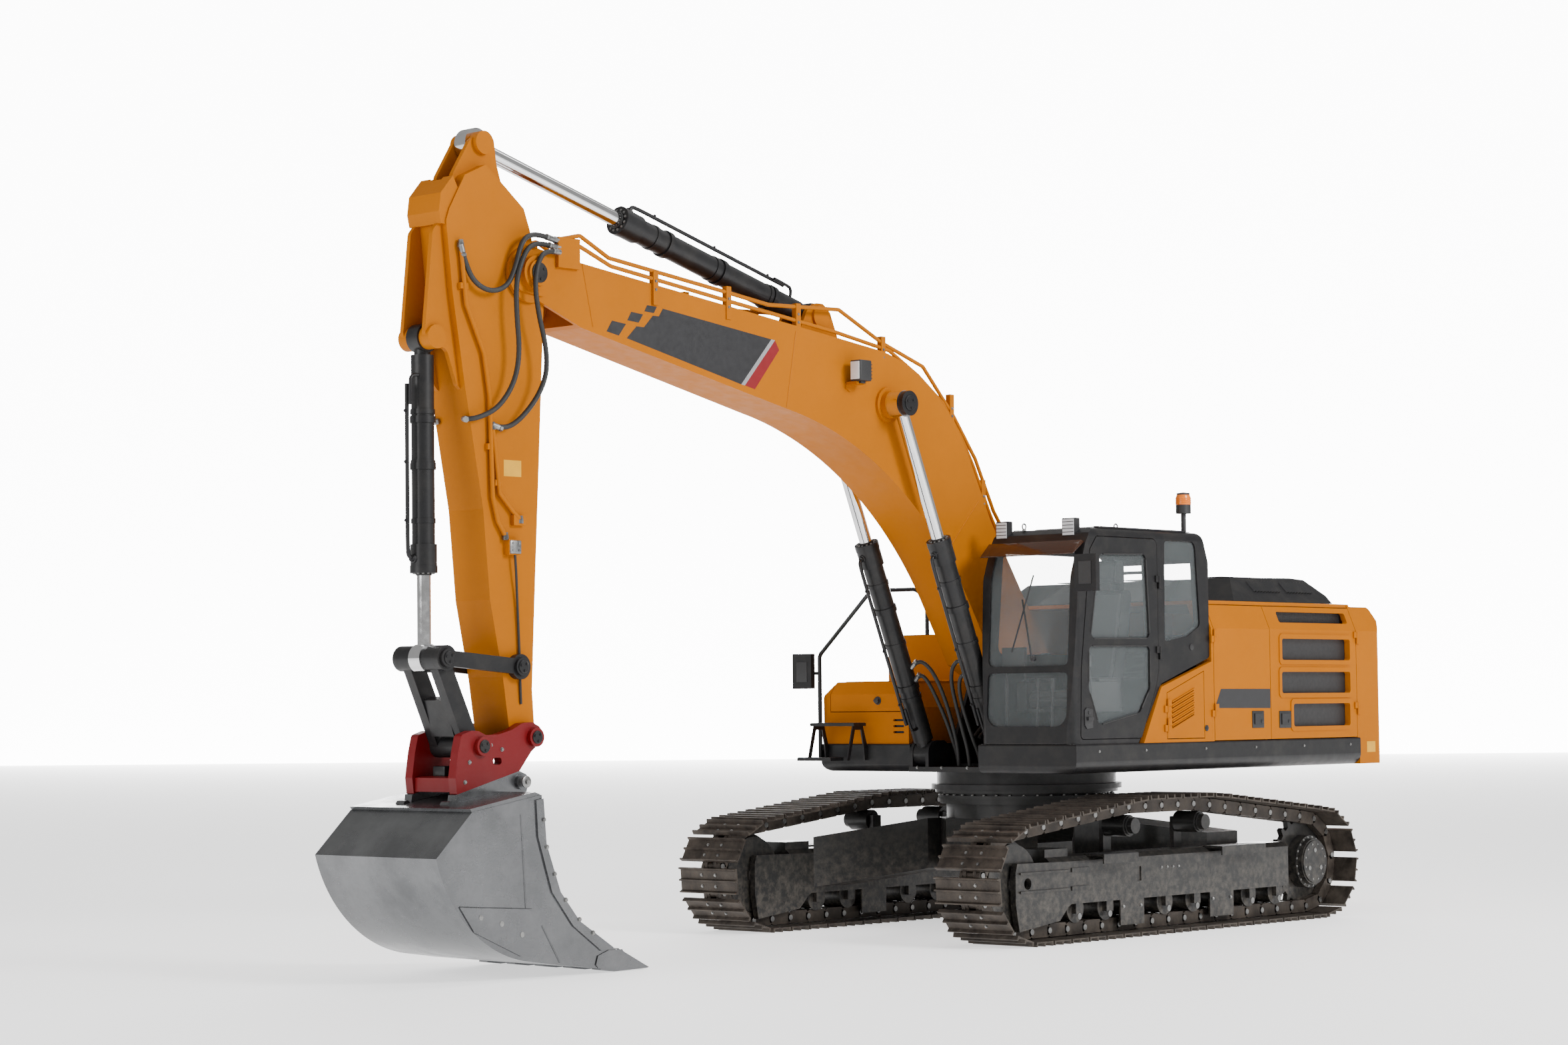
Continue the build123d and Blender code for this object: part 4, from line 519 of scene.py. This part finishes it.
def chain_pins():
    """Link pins spread evenly along the track's pitch line, as (x, z)."""
    def slope(x, carrier, side):
        reach = math.hypot(carrier - x, CARRIER_RISE - AXLE_Z)
        rise = math.atan2(CARRIER_RISE - AXLE_Z, side * (x - carrier))
        return math.degrees(rise - math.asin(REACH / reach))
    ends = []
    for x, first, sweep in ((AXLE_X, -90, 180 - slope(AXLE_X, CARRIERS[0], 1)),
                            (-AXLE_X, 90 + slope(-AXLE_X, CARRIERS[1], -1),
                             180 - slope(-AXLE_X, CARRIERS[1], -1))):
        turns = [math.radians(first + sweep * step / 40) for step in range(41)]
        ends.append([Vector((x + REACH * math.cos(t), AXLE_Z + REACH * math.sin(t))) for t in turns])
    loop = ends[0] + [Vector((x, CARRIER_RISE)) for x in CARRIERS] + ends[1]
    sides = [(p, loop[(i + 1) % len(loop)]) for i, p in enumerate(loop)]
    total = sum((b - a).length for a, b in sides)
    count = round(total / PITCH)
    pins, walked, index = [], 0.0, 0
    for number in range(count):
        target = total * number / count
        while walked + (sides[index][1] - sides[index][0]).length < target:
            walked += (sides[index][1] - sides[index][0]).length
            index += 1
        start, end = sides[index]
        pins.append(start.lerp(end, (target - walked) / (end - start).length))
    return pins


def link_side(half, heading):
    """Side view of one link plate, overlapping its neighbour ahead or behind."""
    points = [(-half - 34, -26), (-half - 34, 26), (-half + 6, 48), (half - 10, 48), (half + 4, 22),
              (half + 4, -20), (half - 16, -51), (14 - half, -51)]
    return points if heading > 0 else [(-u, w) for u, w in reversed(points)]


def chain(side):
    pins = chain_pins()
    y = side * GAUGE / 2
    shoes, links, fasteners = bmesh.new(), bmesh.new(), bmesh.new()
    for i, pin in enumerate(pins):
        after = pins[(i + 1) % len(pins)]
        length = (after - pin).length
        ahead = (after - pin) / length
        out = Vector((ahead[1], -ahead[0]))
        middle = (pin + after) / 2

        def to(u, w):
            return tuple(middle + ahead * u + out * w)
        half = length / 2 - 7
        top, tip = LINK / 2 + 12, LINK / 2 + 12 + GROUSER
        section = [(-half, LINK / 2 + 2), (-half, tip - 4), (4 - half, tip), (11 - half, tip),
                   (20 - half, top), (-11, top), (-6, tip), (6, tip), (11, top), (half - 20, top),
                   (half - 11, tip), (half - 4, tip), (half, tip - 4), (half, LINK / 2 + 2)]
        prism(shoes, "y", [to(*p) for p in section], y - SHOE / 2, y + SHOE / 2)
        for rail in (1, -1):
            inner, middle_face, outer = (y + rail * face for face in (RAIL_IN, RAIL_MIDDLE, RAIL_OUT))
            prism(links, "y", [to(*p) for p in link_side(half, 1)], *sorted((inner, middle_face)))
            prism(links, "y", [to(*p) for p in link_side(half, -1)], *sorted((middle_face, outer)))
            for u in (-44, 44):
                place = to(u, top)
                bolt(fasteners, (place[0], y + rail * 72, place[1]), (out[0], 0, out[1]), 11)
            bar(fasteners, (pin[0], y + rail * 92, pin[1]), (pin[0], y + rail * 99, pin[1]), 22, 14)
        bar(links, (pin[0], y - 33, pin[1]), (pin[0], y + 33, pin[1]), 31, 14)
    name = "left" if side > 0 else "right"
    made = piece("track_shoes_" + name, shoes, TRACK, "undercarriage")
    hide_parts("track_" + name)
    piece("track_links_" + name, links, TRACK, "undercarriage")
    piece("track_bolts_" + name, fasteners, STEEL, "undercarriage")


chain(1)
chain(-1)

# ------------------------------------------------------------------ undercarriage details
bm = bmesh.new()
bolt_circle(bm, (0, 0, 1043), (0, 0, 1), 692, 40, 12)
for side in (1, -1):
    y = side * GAUGE / 2
    heading = (0, side, 0)
    bolt_circle(bm, (-AXLE_X, y + side * 114, AXLE_Z), heading, 199, 20, 9)
    bolt_circle(bm, (-AXLE_X, y + side * 164, AXLE_Z), heading, 146, 12, 7)
    for turn in (90, 210, 330):
        a = math.radians(turn)
        lathe(bm, (-AXLE_X + 96 * math.cos(a), y + side * 164, AXLE_Z + 96 * math.sin(a)), heading,
              [(-1, 19), (4, 19), (4.5, 12), (5, 12)], 16)
    for x in (-330, -255, -180, -105):
        bolt(bm, (x + 300, y + side * 164, 500), heading, 9)
    for x in (473, 696, -728, -484):
        bolt(bm, (x, y + side * 164, 225), heading, 12)
    for number in range(8):
        x = 1229 - 381 * number
        bar(bm, (x, y + side * 148, 180.0), (x, y + side * 152, 180.0), 24, 16)
        for shift in (-28, 28):
            bolt(bm, (x + shift, y + side * 148, 300), heading, 8)
piece("undercarriage_bolts", bm, STEEL, "undercarriage")

bm = bmesh.new()
for side in (1, -1):
    y = side * GAUGE / 2
    for low, high in ((664, 1102), (-1049, -444)):
        slab(bm, (low + 8, high - 8), (y + side * 112, y + side * 284), (636.2, 639), 1.0, 1)
piece("frame_treads", bm, TREAD_SHEET, "undercarriage")

# ------------------------------------------------------------------ house
HALF = 1400.0                                   # the house's side faces


def thin(name, outline_xz, y, depth, material, body, bevel=0.0):
    """Flat plate against a side face, seen from the side."""
    bm = bmesh.new()
    prism(bm, "y", outline_xz, *sorted((y, y + depth)), bevel, 2)
    return piece(name, bm, material, body)


def box_points(x_low, x_high, z_low, z_high):
    return [(x_low, z_low), (x_high, z_low), (x_high, z_high), (x_low, z_high)]


bm = bmesh.new()
for x_low, x_high, z_low, z_high in ((-2620, -1603, 2102, 2276), (-2619, -1594, 1831, 2005),
                                     (-2609, -1759, 1558, 1744)):
    slab(bm, (x_low - 12, x_high + 12), (HALF - 52, HALF - 48), (z_low - 12, z_high + 12))
slab(bm, (-2655, -1600), (HALF - 112, HALF - 108), (2395, 2510))
piece("grille_sheets", bm, MESH_SHEET, "side_door_rear")

for name, x_low, x_high, z_low, z_high, body in (
        ("latch_front", -1327, -1161, 1553, 1690, "side_door_front"),
        ("latch_rear", -1720, -1551, 1548, 1687, "side_door_rear")):
    bm = bmesh.new()
    slab(bm, (x_low, x_high), (HALF - 1, HALF + 7), (z_low, z_high), 6)
    slab(bm, (x_low + 24, x_high - 24), (HALF + 6, HALF + 16), (z_low + 30, z_high - 22), 5)
    lathe(bm, (x_low + 44, HALF + 14, z_low + 52), (0, 1, 0), [(0, 16), (6, 15), (7, 9)], 20)
    piece(name, bm, PLASTIC, body)
thin("blank_plate_front", [(-642, 1717), (-731, 1869), (-1428, 1867), (-1428, 1711)],
     HALF - 1, 2.2, DECAL, "side_door_front")
bm = bmesh.new()
turns = [k * math.pi / 10 for k in range(20)]
prism(bm, "y", [(-523 + 24 * math.cos(t), 1560 + 24 * math.sin(t)) for t in turns],
      HALF - 1, HALF + 7, 1.5, 1)
slab(bm, (-531, -515), (HALF + 6, HALF + 11), (1546, 1574), 1.5, 1)
piece("low_door_lock", bm, PLASTIC, "low_door")

bm = bmesh.new()                                  # raised edges of the louvres
for number in range(6):
    z = 1561 + 38 * number
    prism(bm, "y", [(-360, z + 118), (-57, z + 14), (-57, z + 22), (-360, z + 126)],
          HALF - 2, HALF + 9, 2, 1)
piece("louvre_lips", bm, YELLOW, "low_door")

# engine cover: two groups of louvres on each slope, ribs and a grab rail
bm = bmesh.new()
low, top = 2581.0, 2796.0                       # the cover's foot and roof
for start in (-2440, -1960):
    for row in range(9):
        x = start + 44 * row
        for side in (1, -1):
            foot = Vector((x, side * 1150, low + 36 + 50))
            tip = Vector((x, side * 1070, low + 36 + 137))
            across = Vector((13, 0, 0))
            out = Vector((0, side * 14, 8))
            lip = (-across, -across * 0.2 + out, across, across * 0.6 - out * 0.3)
            loft(bm, [[at(*(p + v)) for v in lip] for p in (foot, tip)])
piece("cover_louvres", bm, BLACK, "engine_hood", 20)
bm = bmesh.new()
for y in (-700, 0, 700):
    slab(bm, (-2280, -1560), (y - 150, y + 150), (top - 1, top + 5), 3)
piece("cover_ribs", bm, BLACK, "engine_hood")
bm = bmesh.new()
tube(bm, route([(-1330, y, z) for y, z in ((-420, 2770), (-420, 2840), (-400, 2850), (400, 2850),
                                           (420, 2840), (420, 2770))]), 13)
piece("cover_rail", bm, BLACK, "engine_hood")

# storage box: knob of the lid, painted shade in the vents, treads and tank cap
bm = bmesh.new()
lathe(bm, (878, -812, 1802), (1, 0, 0), [(0, 34), (6, 34), (8, 26), (26, 24), (30, 18)], 24)
slab(bm, (904, 912), (-836, -788), (1796, 1808), 2)
piece("lid_knob", bm, PLASTIC, "tool_box_lid")
# black slabs behind the vent slots: painted shade for the dark space seen through them
bm = bmesh.new()
for z in (1549, 1597, 1645):
    slab(bm, (852, 858), (-652, -540), (z - 10, z + 10))
piece("vent_painted_shade", bm, BLACK, "upper_structure")
bm = bmesh.new()
slab(bm, (300, 780), (-1240, -620), (1955.2, 1959), 1.5, 1)
piece("lid_tread", bm, TREAD_SHEET, "tool_box_lid")
bm = bmesh.new()
slab(bm, (-600, 60), (-1330, -940), (2341, 2345), 1.5, 1)
slab(bm, (990, 1178), (480, 1370), (1455.2, 1459), 1.5, 1)
slab(bm, (-2700, -700), (-1240, -560), (2575.5, 2579), 1.5, 1)
piece("deck_treads", bm, TREAD_SHEET, "upper_structure")
bm = bmesh.new()
slab(bm, (945, 1085), (-1355, -895), (1624.2, 1627), 1.5, 1)
slab(bm, (1004, 1156), (-1435, -1085), (1346.2, 1349), 1.5, 1)
piece("step_treads", bm, TREAD_SHEET, "upper_structure")
bm = bmesh.new()
lathe(bm, (-150, -760, 2430), (0, 0, 1), [(-2, 60), (0, 64), (26, 64), (32, 56), (34, 40)], 28)
slab(bm, (-170, -130), (-835, -685), (2450, 2464), 4)
piece("tank_cap", bm, BLACK, "upper_structure")

# counterweight: blank sticker and rims of the lifting eyes
thin("blank_sticker_rear", box_points(-3000, -2870, 1330, 1420), HALF - 1, 2.0, DECAL_ORANGE,
     "upper_structure")
bm = bmesh.new()
for y in (-700, 700):
    for side in (1, -1):
        lathe(bm, (-3030, y + side * 24, 2605), (0, side, 0), [(0, 40), (3, 40), (3.2, 31), (0, 31)], 28)
piece("eye_rims", bm, YELLOW, "upper_structure")

# bolts on the deck's nose and skirts
bm = bmesh.new()
for y in (-380, -130, 130, 380):
    bolt(bm, (914, y, 1268), (1, 0, 0), 10)
for x in (-2600, -1900, -1200, -500, 300, 900):
    for side in (1, -1):
        if side > 0 or x < 800:
            bolt(bm, (x, side * (HALF + 7.5), 1400), (0, side, 0), 9)
piece("deck_bolts", bm, STEEL, "upper_structure")

# ------------------------------------------------------------------ cab
OUT, IN, ROOF = 1385.0, 468.0, 3105.0           # the cab's side faces and roof
MID = (OUT + IN) / 2
ROOF_LAMPS = ((490, 605), (1133, 1256))         # y of their sides
bm = bmesh.new()                                  # door handle in its cup
prism(bm, "y", [(952, 1580), (1030, 1570), (1056, 1600), (1056, 1712), (1030, 1734), (952, 1724)],
      OUT + 1, OUT + 9, 5)
slab(bm, (972, 1036), (OUT + 8, OUT + 30), (1636, 1660), 6)
lathe(bm, (1004, OUT + 8, 1696), (0, 1, 0), [(0, 14), (5, 13), (6, 8)], 20)
piece("door_handle", bm, PLASTIC, "cab_door")
bm = bmesh.new()
lathe(bm, (-356, OUT - 1, 2199), (0, 1, 0), [(0, 26), (6, 25), (8, 16)], 24)
piece("cab_side_lock", bm, PLASTIC, "upper_structure")

bm = bmesh.new()                                  # door seals round both panes
for points in ([(200, 2262), (966, 2256), (838, ROOF - 205), (240, ROOF - 190)],
               [(200, 2205), (985, 2200), (995, 1880), (872, 1600), (345, 1690), (205, 1880)]):
    closed = [at(x, OUT + 1.5, z) for x, z in points]
    for a, b in zip(closed, closed[1:] + closed[:1]):
        cut = (b - a).normalized() * 0.045
        tube(bm, [a + cut, (a + b) / 2, b - cut], 6, 8)
piece("door_seals", bm, RUBBER, "cab_door")

bm = bmesh.new()                                  # sun and rain visor over the windscreen
prism(bm, "y", [(1000, 2992), (1045, 3004), (1160, 2900), (1152, 2892)], IN + 14, OUT - 14, 3, 2)
piece("visor", bm, VISOR, "upper_structure")

bm = bmesh.new()                                  # wiper
lathe(bm, (1186, 1010, 2110), (1, 0, 0.1), [(-10, 22), (14, 22), (20, 16)], 16)
bar(bm, (1206, 1010, 2110), (1158, 890, 2560), 7)
bar(bm, (1202, 815, 2160), (1137, 985, 2745), 6)
piece("wiper", bm, PLASTIC, "upper_structure")

bm = bmesh.new()                                  # roof: hatch and ribs
slab(bm, (60, 640), (IN + 150, OUT - 150), (ROOF - 1, ROOF + 20), 14, 3)
for y in (IN + 70, OUT - 70):
    slab(bm, (-380, 780), (y - 22, y + 22), (ROOF - 1, ROOF + 12), 8)
piece("roof_hatch", bm, BLACK, "upper_structure")

bm = bmesh.new()                                  # lifting eyes on the roof
for x, y in ((880, 700), (300, 1150), (-380, 640)):
    turns = [math.radians(-70 + 20 * step) for step in range(17)]
    tube(bm, [at(x + 22 * math.cos(a), y, ROOF + 30 + 22 * math.sin(a)) for a in turns], 6, 8)
    lathe(bm, (x, y, ROOF - 1), (0, 0, 1), [(0, 17), (9, 16), (11, 12)], 16)
piece("lifting_eyes", bm, STEEL, "upper_structure", 50)

bm = bmesh.new()                                  # lamp lenses
for y_low, y_high in ROOF_LAMPS:
    slab(bm, (966, 972), (y_low + 8, y_high - 8), (ROOF - 78, ROOF + 64), 5)
piece("cab_lamp_lenses", bm, LENS, "upper_structure")
bm = bmesh.new()
for y_low, y_high in ROOF_LAMPS:
    for row in range(5):
        slab(bm, (971, 975), (y_low + 8, y_high - 8), (ROOF - 62 + 26 * row, ROOF - 57 + 26 * row), 1, 1)
piece("cab_lamp_bars", bm, PLASTIC, "upper_structure")
bm = bmesh.new()
lathe(bm, (-470, 1250, ROOF + 226), (0, 0, 1),
      [(0, 61), (10, 62), (60, 60), (85, 50), (97, 30), (100, 10)], 32)
for row in range(3):
    lathe(bm, (-470, 1250, ROOF + 240 + 16 * row), (0, 0, 1), [(0, 62), (2, 64), (6, 64), (8, 62)], 32)
piece("beacon_dome", bm, AMBER, "upper_structure", 25)

bm = bmesh.new()                                  # mirror glasses face the driver
slab(bm, (931, 935.5), (-1633, -1452), (1917, 2178), 2)
slab(bm, (1181, 1185.5), (1452, 1633), (2617, 2872), 2)
piece("mirror_glasses", bm, CHROME, "upper_structure")
bm = bmesh.new()
slab(bm, (978, 984), (-1600, -1485), (1960, 2125), 4)
slab(bm, (1228, 1234), (1485, 1600), (2660, 2830), 4)
piece("mirror_backs", bm, PLASTIC, "upper_structure")


# inside: cushions, levers, pedals, screen and mat
def cushion(name, x, y, z, bevel):
    bm = bmesh.new()
    slab(bm, x, y, z, bevel, 4)
    made = piece(name, bm, CLOTH, "upper_structure", 60)
    return made


cushion("seat_cushion", (330, 822), (MID - 240, MID + 240), (1800, 1868), 26)
bm = bmesh.new()
prism(bm, "y", [(386, 1890), (430, 1890), (330, 2300), (262, 2620), (215, 2620), (270, 2300)],
      MID - 225, MID + 225, 20, 4)
back = piece("seat_back", bm, CLOTH, "upper_structure", 60)
cushion("head_cushion", (120, 215), (MID - 130, MID + 130), (2712, 2870), 30)
bm = bmesh.new()
for side in (1, -1):
    y = MID + side * 312
    bar(bm, (780, y, 1925), (800, y, 2060), 11)
    lathe(bm, (797, y, 2045), (0.12, 0, 1), [(0, 20), (30, 27), (75, 29), (100, 22), (108, 8)], 16)
    lathe(bm, (780, y, 1926), (0, 0, 1), [(0, 40), (8, 34), (16, 22), (24, 16)], 16)
    slab(bm, (480, 720), (y - 45, y + 45), (1928, 1962), 14, 3)
    bar(bm, (960, MID + side * 70, 1525), (930, MID + side * 70, 1900), 10)
    slab(bm, (915, 945), (MID + side * 70 - 16, MID + side * 70 + 16), (1880, 1960), 8)
    prism(bm, "y", [(900, 1530), (1010, 1575), (1010, 1590), (896, 1545)],
          MID + side * 70 - 45, MID + side * 70 + 45, 3)
slab(bm, (955, 985), (IN + 80, IN + 300), (2040, 2200), 10, 2)
bar(bm, (970, IN + 110, 1600), (970, IN + 110, 2050), 12)
piece("cab_controls", bm, PLASTIC, "upper_structure")
bm = bmesh.new()
slab(bm, (952, 955.5), (IN + 95, IN + 285), (2055, 2185), 1, 1)
piece("screen_face", bm, GLASS, "upper_structure")
bm = bmesh.new()
slab(bm, (250, 1080), (IN + 70, OUT - 70), (1516, 1522), 2, 1)
piece("cab_mat", bm, RUBBER, "upper_structure")

# ------------------------------------------------------------------ boom and stick details
def boom_half(x):
    """Half width of the boom, which narrows towards its tip."""
    return 240.0 - 35.0 * max(0.0, min(1.0, (x - 2600) / 2400))


def on_boom(bm, points, side, height):
    """Thin plate that follows the boom's side, seen from the side."""
    rings = [[at(x, side * (boom_half(x) + lift), z) for x, z in points] for lift in (-0.6, height)]
    loft(bm, rings)


# bare panel, stripes and squares, as (x, z)
DECALS = [(DECAL, [(4365, 4583), (4405, 4525), (4465, 4525), (4554, 4436), (4626, 4437), (4722, 4346),
                   (3571, 4098), (3249, 4450)], "dark"),
          (DECAL_GREY, [(3249, 4450), (3210, 4446), (3533, 4093), (3571, 4098)], "grey"),
          (DECAL_RED, [(3210, 4446), (3166, 4377), (3428, 4072), (3533, 4093)], "red"),
          (DECAL, [(4521, 4595), (4425, 4591), (4454, 4544), (4548, 4549)], "tip_high"),
          (DECAL, [(4677, 4535), (4561, 4526), (4605, 4464), (4716, 4472)], "tip_middle"),
          (DECAL, [(4864, 4458), (4729, 4445), (4799, 4358), (4917, 4379)], "tip_low")]
for material, points, name in DECALS:
    bm = bmesh.new()
    for side in (1, -1):
        on_boom(bm, points, side, 1.0)
    piece("boom_decal_" + name, bm, material, "boom")

bm = bmesh.new()                                  # weld seams across the boom's sides
for side in (1, -1):
    for a, b in (((2983, 4530), (3092, 3958)), ((867, 3360), (1213, 3000)),
                 ((5046, 4400), (5146, 4826))):
        steps = [Vector(a).lerp(Vector(b), t / 8) for t in range(9)]
        tube(bm, [at(p.x, side * (boom_half(p.x) - 0.5), p.y) for p in steps], 5, 8)
piece("boom_seams", bm, YELLOW, "boom")

bm = bmesh.new()                                  # work lamp on the boom
slab(bm, (2318, 2452), (296, 402), (4192, 4350), 12, 3)
slab(bm, (2360, 2410), (330, 370), (4176, 4196), 3)
for row in range(5):
    slab(bm, (2306, 2320), (304, 394), (4212 + 26 * row, 4218 + 26 * row), 1, 1)
piece("boom_lamp", bm, PLASTIC, "boom")
bm = bmesh.new()
slab(bm, (2451, 2457), (306, 392), (4204, 4338), 8, 2)
piece("boom_lamp_lens", bm, LENS, "boom")

bm = bmesh.new()                                  # pipe clamps' bolts and couplings
for side in (1, -1):
    for x, z in ((4450, 4800), (3700, 4740), (2950, 4690), (1985, 4500), (1170, 4100), (790, 3430)):
        for drop in (90, 30):
            bolt(bm, (x, side * 233, z - drop), (0, side, 0), 9)
    for x, z in ((5420, 4965), (5405, 4915)):
        lathe(bm, (x - 30, side * 215, z), (1, 0, 0.1), [(0, 24), (34, 24), (40, 19), (58, 19)], 6)
piece("boom_pipe_fittings", bm, STEEL, "boom")

bm = bmesh.new()                                  # valve block, couplings and clamps on the stick
for side in (1, -1):
    y = side * 216
    slab(bm, (5752, 5853), (y - 14, y + 14), (2806, 2898), 8, 2)
    for x, z in ((5775, 2830), (5830, 2830), (5775, 2878), (5830, 2878)):
        bolt(bm, (x, side * 229, z), (0, side, 0), 8)
    for x, z in ((5735, 3040), (5871, 2924), (6262, 4860), (5985, 3660)):
        lathe(bm, (x, side * 198, z - 26), (0, 0, 1), [(0, 22), (30, 22), (36, 18), (52, 18)], 6)
    for x, z in ((6232, 4580), (5995, 3520), (5930, 3280)):
        bolt(bm, (x, side * 201, z), (0, side, 0), 9)
piece("stick_fittings", bm, STEEL, "arm")
bm = bmesh.new()                                  # thin lines down to the quick hitch
for side in (1, -1):
    tube(bm, route([(5800, side * 214, 2800), (5790, side * 214, 2700), (5760, side * 190, 2500),
                    (5740, side * 186, 2200), (5730, side * 186, 1900), (5720, side * 180, 1800)]),
         9, 10)
piece("hitch_lines", bm, RUBBER, "arm")

thin("blank_sticker_stick", box_points(5700, 5860, 3330, 3440), 171.4, 1.4, DECAL_ORANGE, "arm")
thin("blank_sticker_stick_far", box_points(5700, 5860, 3330, 3440), -171.4, -1.4, DECAL_ORANGE, "arm")

# feed hoses up to the boom's foot
bm = bmesh.new()
for number in range(4):
    y = -90 + 60 * number
    tube(bm, route([(560, y, 1500), (300, y, 1700), (60, y, 2050), (-20, y, 2260), (130, y, 2480),
                    (330, y, 2760), (480, y, 2960)]), 15, 10)
piece("foot_hoses", bm, RUBBER, "upper_structure")

# ------------------------------------------------------------------ hitch and bucket
TOOTH_PLACES = [558 * (number / 2 - 1) for number in range(5)]
bm = bmesh.new()
for side in (1, -1):
    for x, z in ((5960, 1500), (6060, 1530), (6250, 1420), (6290, 1290)):
        bolt(bm, (x, side * 249.5, z), (0, side, 0), 12)
    lathe(bm, (5794, side * 304, 1281), (0, side, 0), [(-2, 40), (8, 40), (11, 34)], 24)
    bolt(bm, (5794, side * 313, 1281), (0, side, 0), 16)
piece("hitch_bolts", bm, STEEL, "bucket")
bm = bmesh.new()                                  # hitch cylinder and hook between the plates
bar(bm, (6105, 0, 1372), (6230, 0, 1345), 36, 24)
bar(bm, (6060, 0, 1382), (6110, 0, 1371), 20, 24)
slab(bm, (6200, 6300), (-60, 60), (1325, 1395), 10, 2)
piece("hitch_ram", bm, BLACK, "bucket")

bm = bmesh.new()                                  # bolts of the side cutters and teeth pins
for side in (1, -1):
    for x, z in ((5895, 1040), (5868, 860), (5800, 680), (5700, 505), (5575, 370), (5450, 275)):
        bolt(bm, (x + 30, side * 611, z), (0, side, 0), 14)
    for x, z in ((6120, 300), (6300, 380), (6480, 430)):
        lathe(bm, (x, side * 608, z), (0, side, 0), [(-1, 18), (3, 18), (3.5, 10)], 16)
for y in TOOTH_PLACES:
    for side in (1, -1):
        lathe(bm, (5285, y + side * 41.5, 95), (0, side, 0), [(-1, 17), (5, 17), (6, 12)], 16)
piece("bucket_bolts", bm, STEEL, "bucket")
bm = bmesh.new()                                  # tooth adapters over the lip
for y in TOOTH_PLACES:
    prism(bm, "y", [(5450, 58), (5430, 118), (5330, 150), (5205, 150), (5175, 116), (5175, 50),
                    (5270, 26), (5420, 34)], y - 50, y + 50, 8, 2)
piece("tooth_adapters", bm, GREY, "bucket")
bm = bmesh.new()                                  # weld beads round the bucket's side plates
for side in (1, -1):
    for points in (((5777, 96), (5937, 348)), ((6029, 460), (6660, 506)), ((6080, 470), (6120, 1080))):
        a, b = (at(x, side * 600.5, z) for x, z in points)
        tube(bm, [a.lerp(b, t / 6) for t in range(7)], 5, 8)
piece("bucket_seams", bm, GREY, "bucket")

# ------------------------------------------------------------------ stage
FLOOR_REACH = 150                               # the stage and its lights are placed in metres
WALL_HALF, WALL_AWAY, WALL_HIGH = 34, 79, 30    # bright wall far behind the machine


def sheet(name, corners, colour, roughness, glow):
    """Flat sheet of the stage that also glows, so that shadows stay soft."""
    mesh = bpy.data.meshes.new(name)
    mesh.from_pydata(corners, [], [(0, 1, 2, 3)])
    made = bpy.data.objects.new(name, mesh)
    bpy.context.scene.collection.objects.link(made)
    material, _, shader = new_material(name)
    shader.inputs["Base Color"].default_value = (colour, colour, colour, 1)
    shader.inputs["Roughness"].default_value = roughness
    shader.inputs["Emission Color"].default_value = (1, 1, 1, 1)
    shader.inputs["Emission Strength"].default_value = glow
    mesh.materials.append(material)
    return made


floor = sheet("floor", [(-FLOOR_REACH, -FLOOR_REACH, 0), (FLOOR_REACH, -FLOOR_REACH, 0),
                        (FLOOR_REACH, FLOOR_REACH, 0), (-FLOOR_REACH, FLOOR_REACH, 0)], 0.88, 0.9, 1.0)
wall = sheet("backdrop", [(-WALL_HALF, -WALL_AWAY, 0), (WALL_HALF, -WALL_AWAY, 0),
                          (WALL_HALF, -WALL_AWAY, WALL_HIGH), (-WALL_HALF, -WALL_AWAY, WALL_HIGH)],
             0.9, 0.5, 11.0)
wall.rotation_euler = (0, 0, math.radians(-52))

world = bpy.data.worlds.new("studio")
bpy.context.scene.world = world
world.use_nodes = True
sky = world.node_tree.nodes["Background"]
sky.inputs["Color"].default_value = (1.0, 0.99, 0.97, 1)
sky.inputs["Strength"].default_value = 0.40


def area_light(name, place, target, size, power):
    data = bpy.data.lights.new(name, "AREA")
    data.shape = "RECTANGLE"
    data.size, data.size_y = size
    data.energy = power
    light = bpy.data.objects.new(name, data)
    light.location = place
    light.rotation_euler = (Vector(target) - Vector(place)).to_track_quat("-Z", "Y").to_euler()
    bpy.context.scene.collection.objects.link(light)


area_light("key", (-1, 17, 11), (-1, 0, 2), (6, 6), 3200)
area_light("fill", (17, -2, 7), (0, 0, 2), (8, 8), 1000)
area_light("top", (-2, 2, 14), (0, 0, 1), (9, 9), 700)
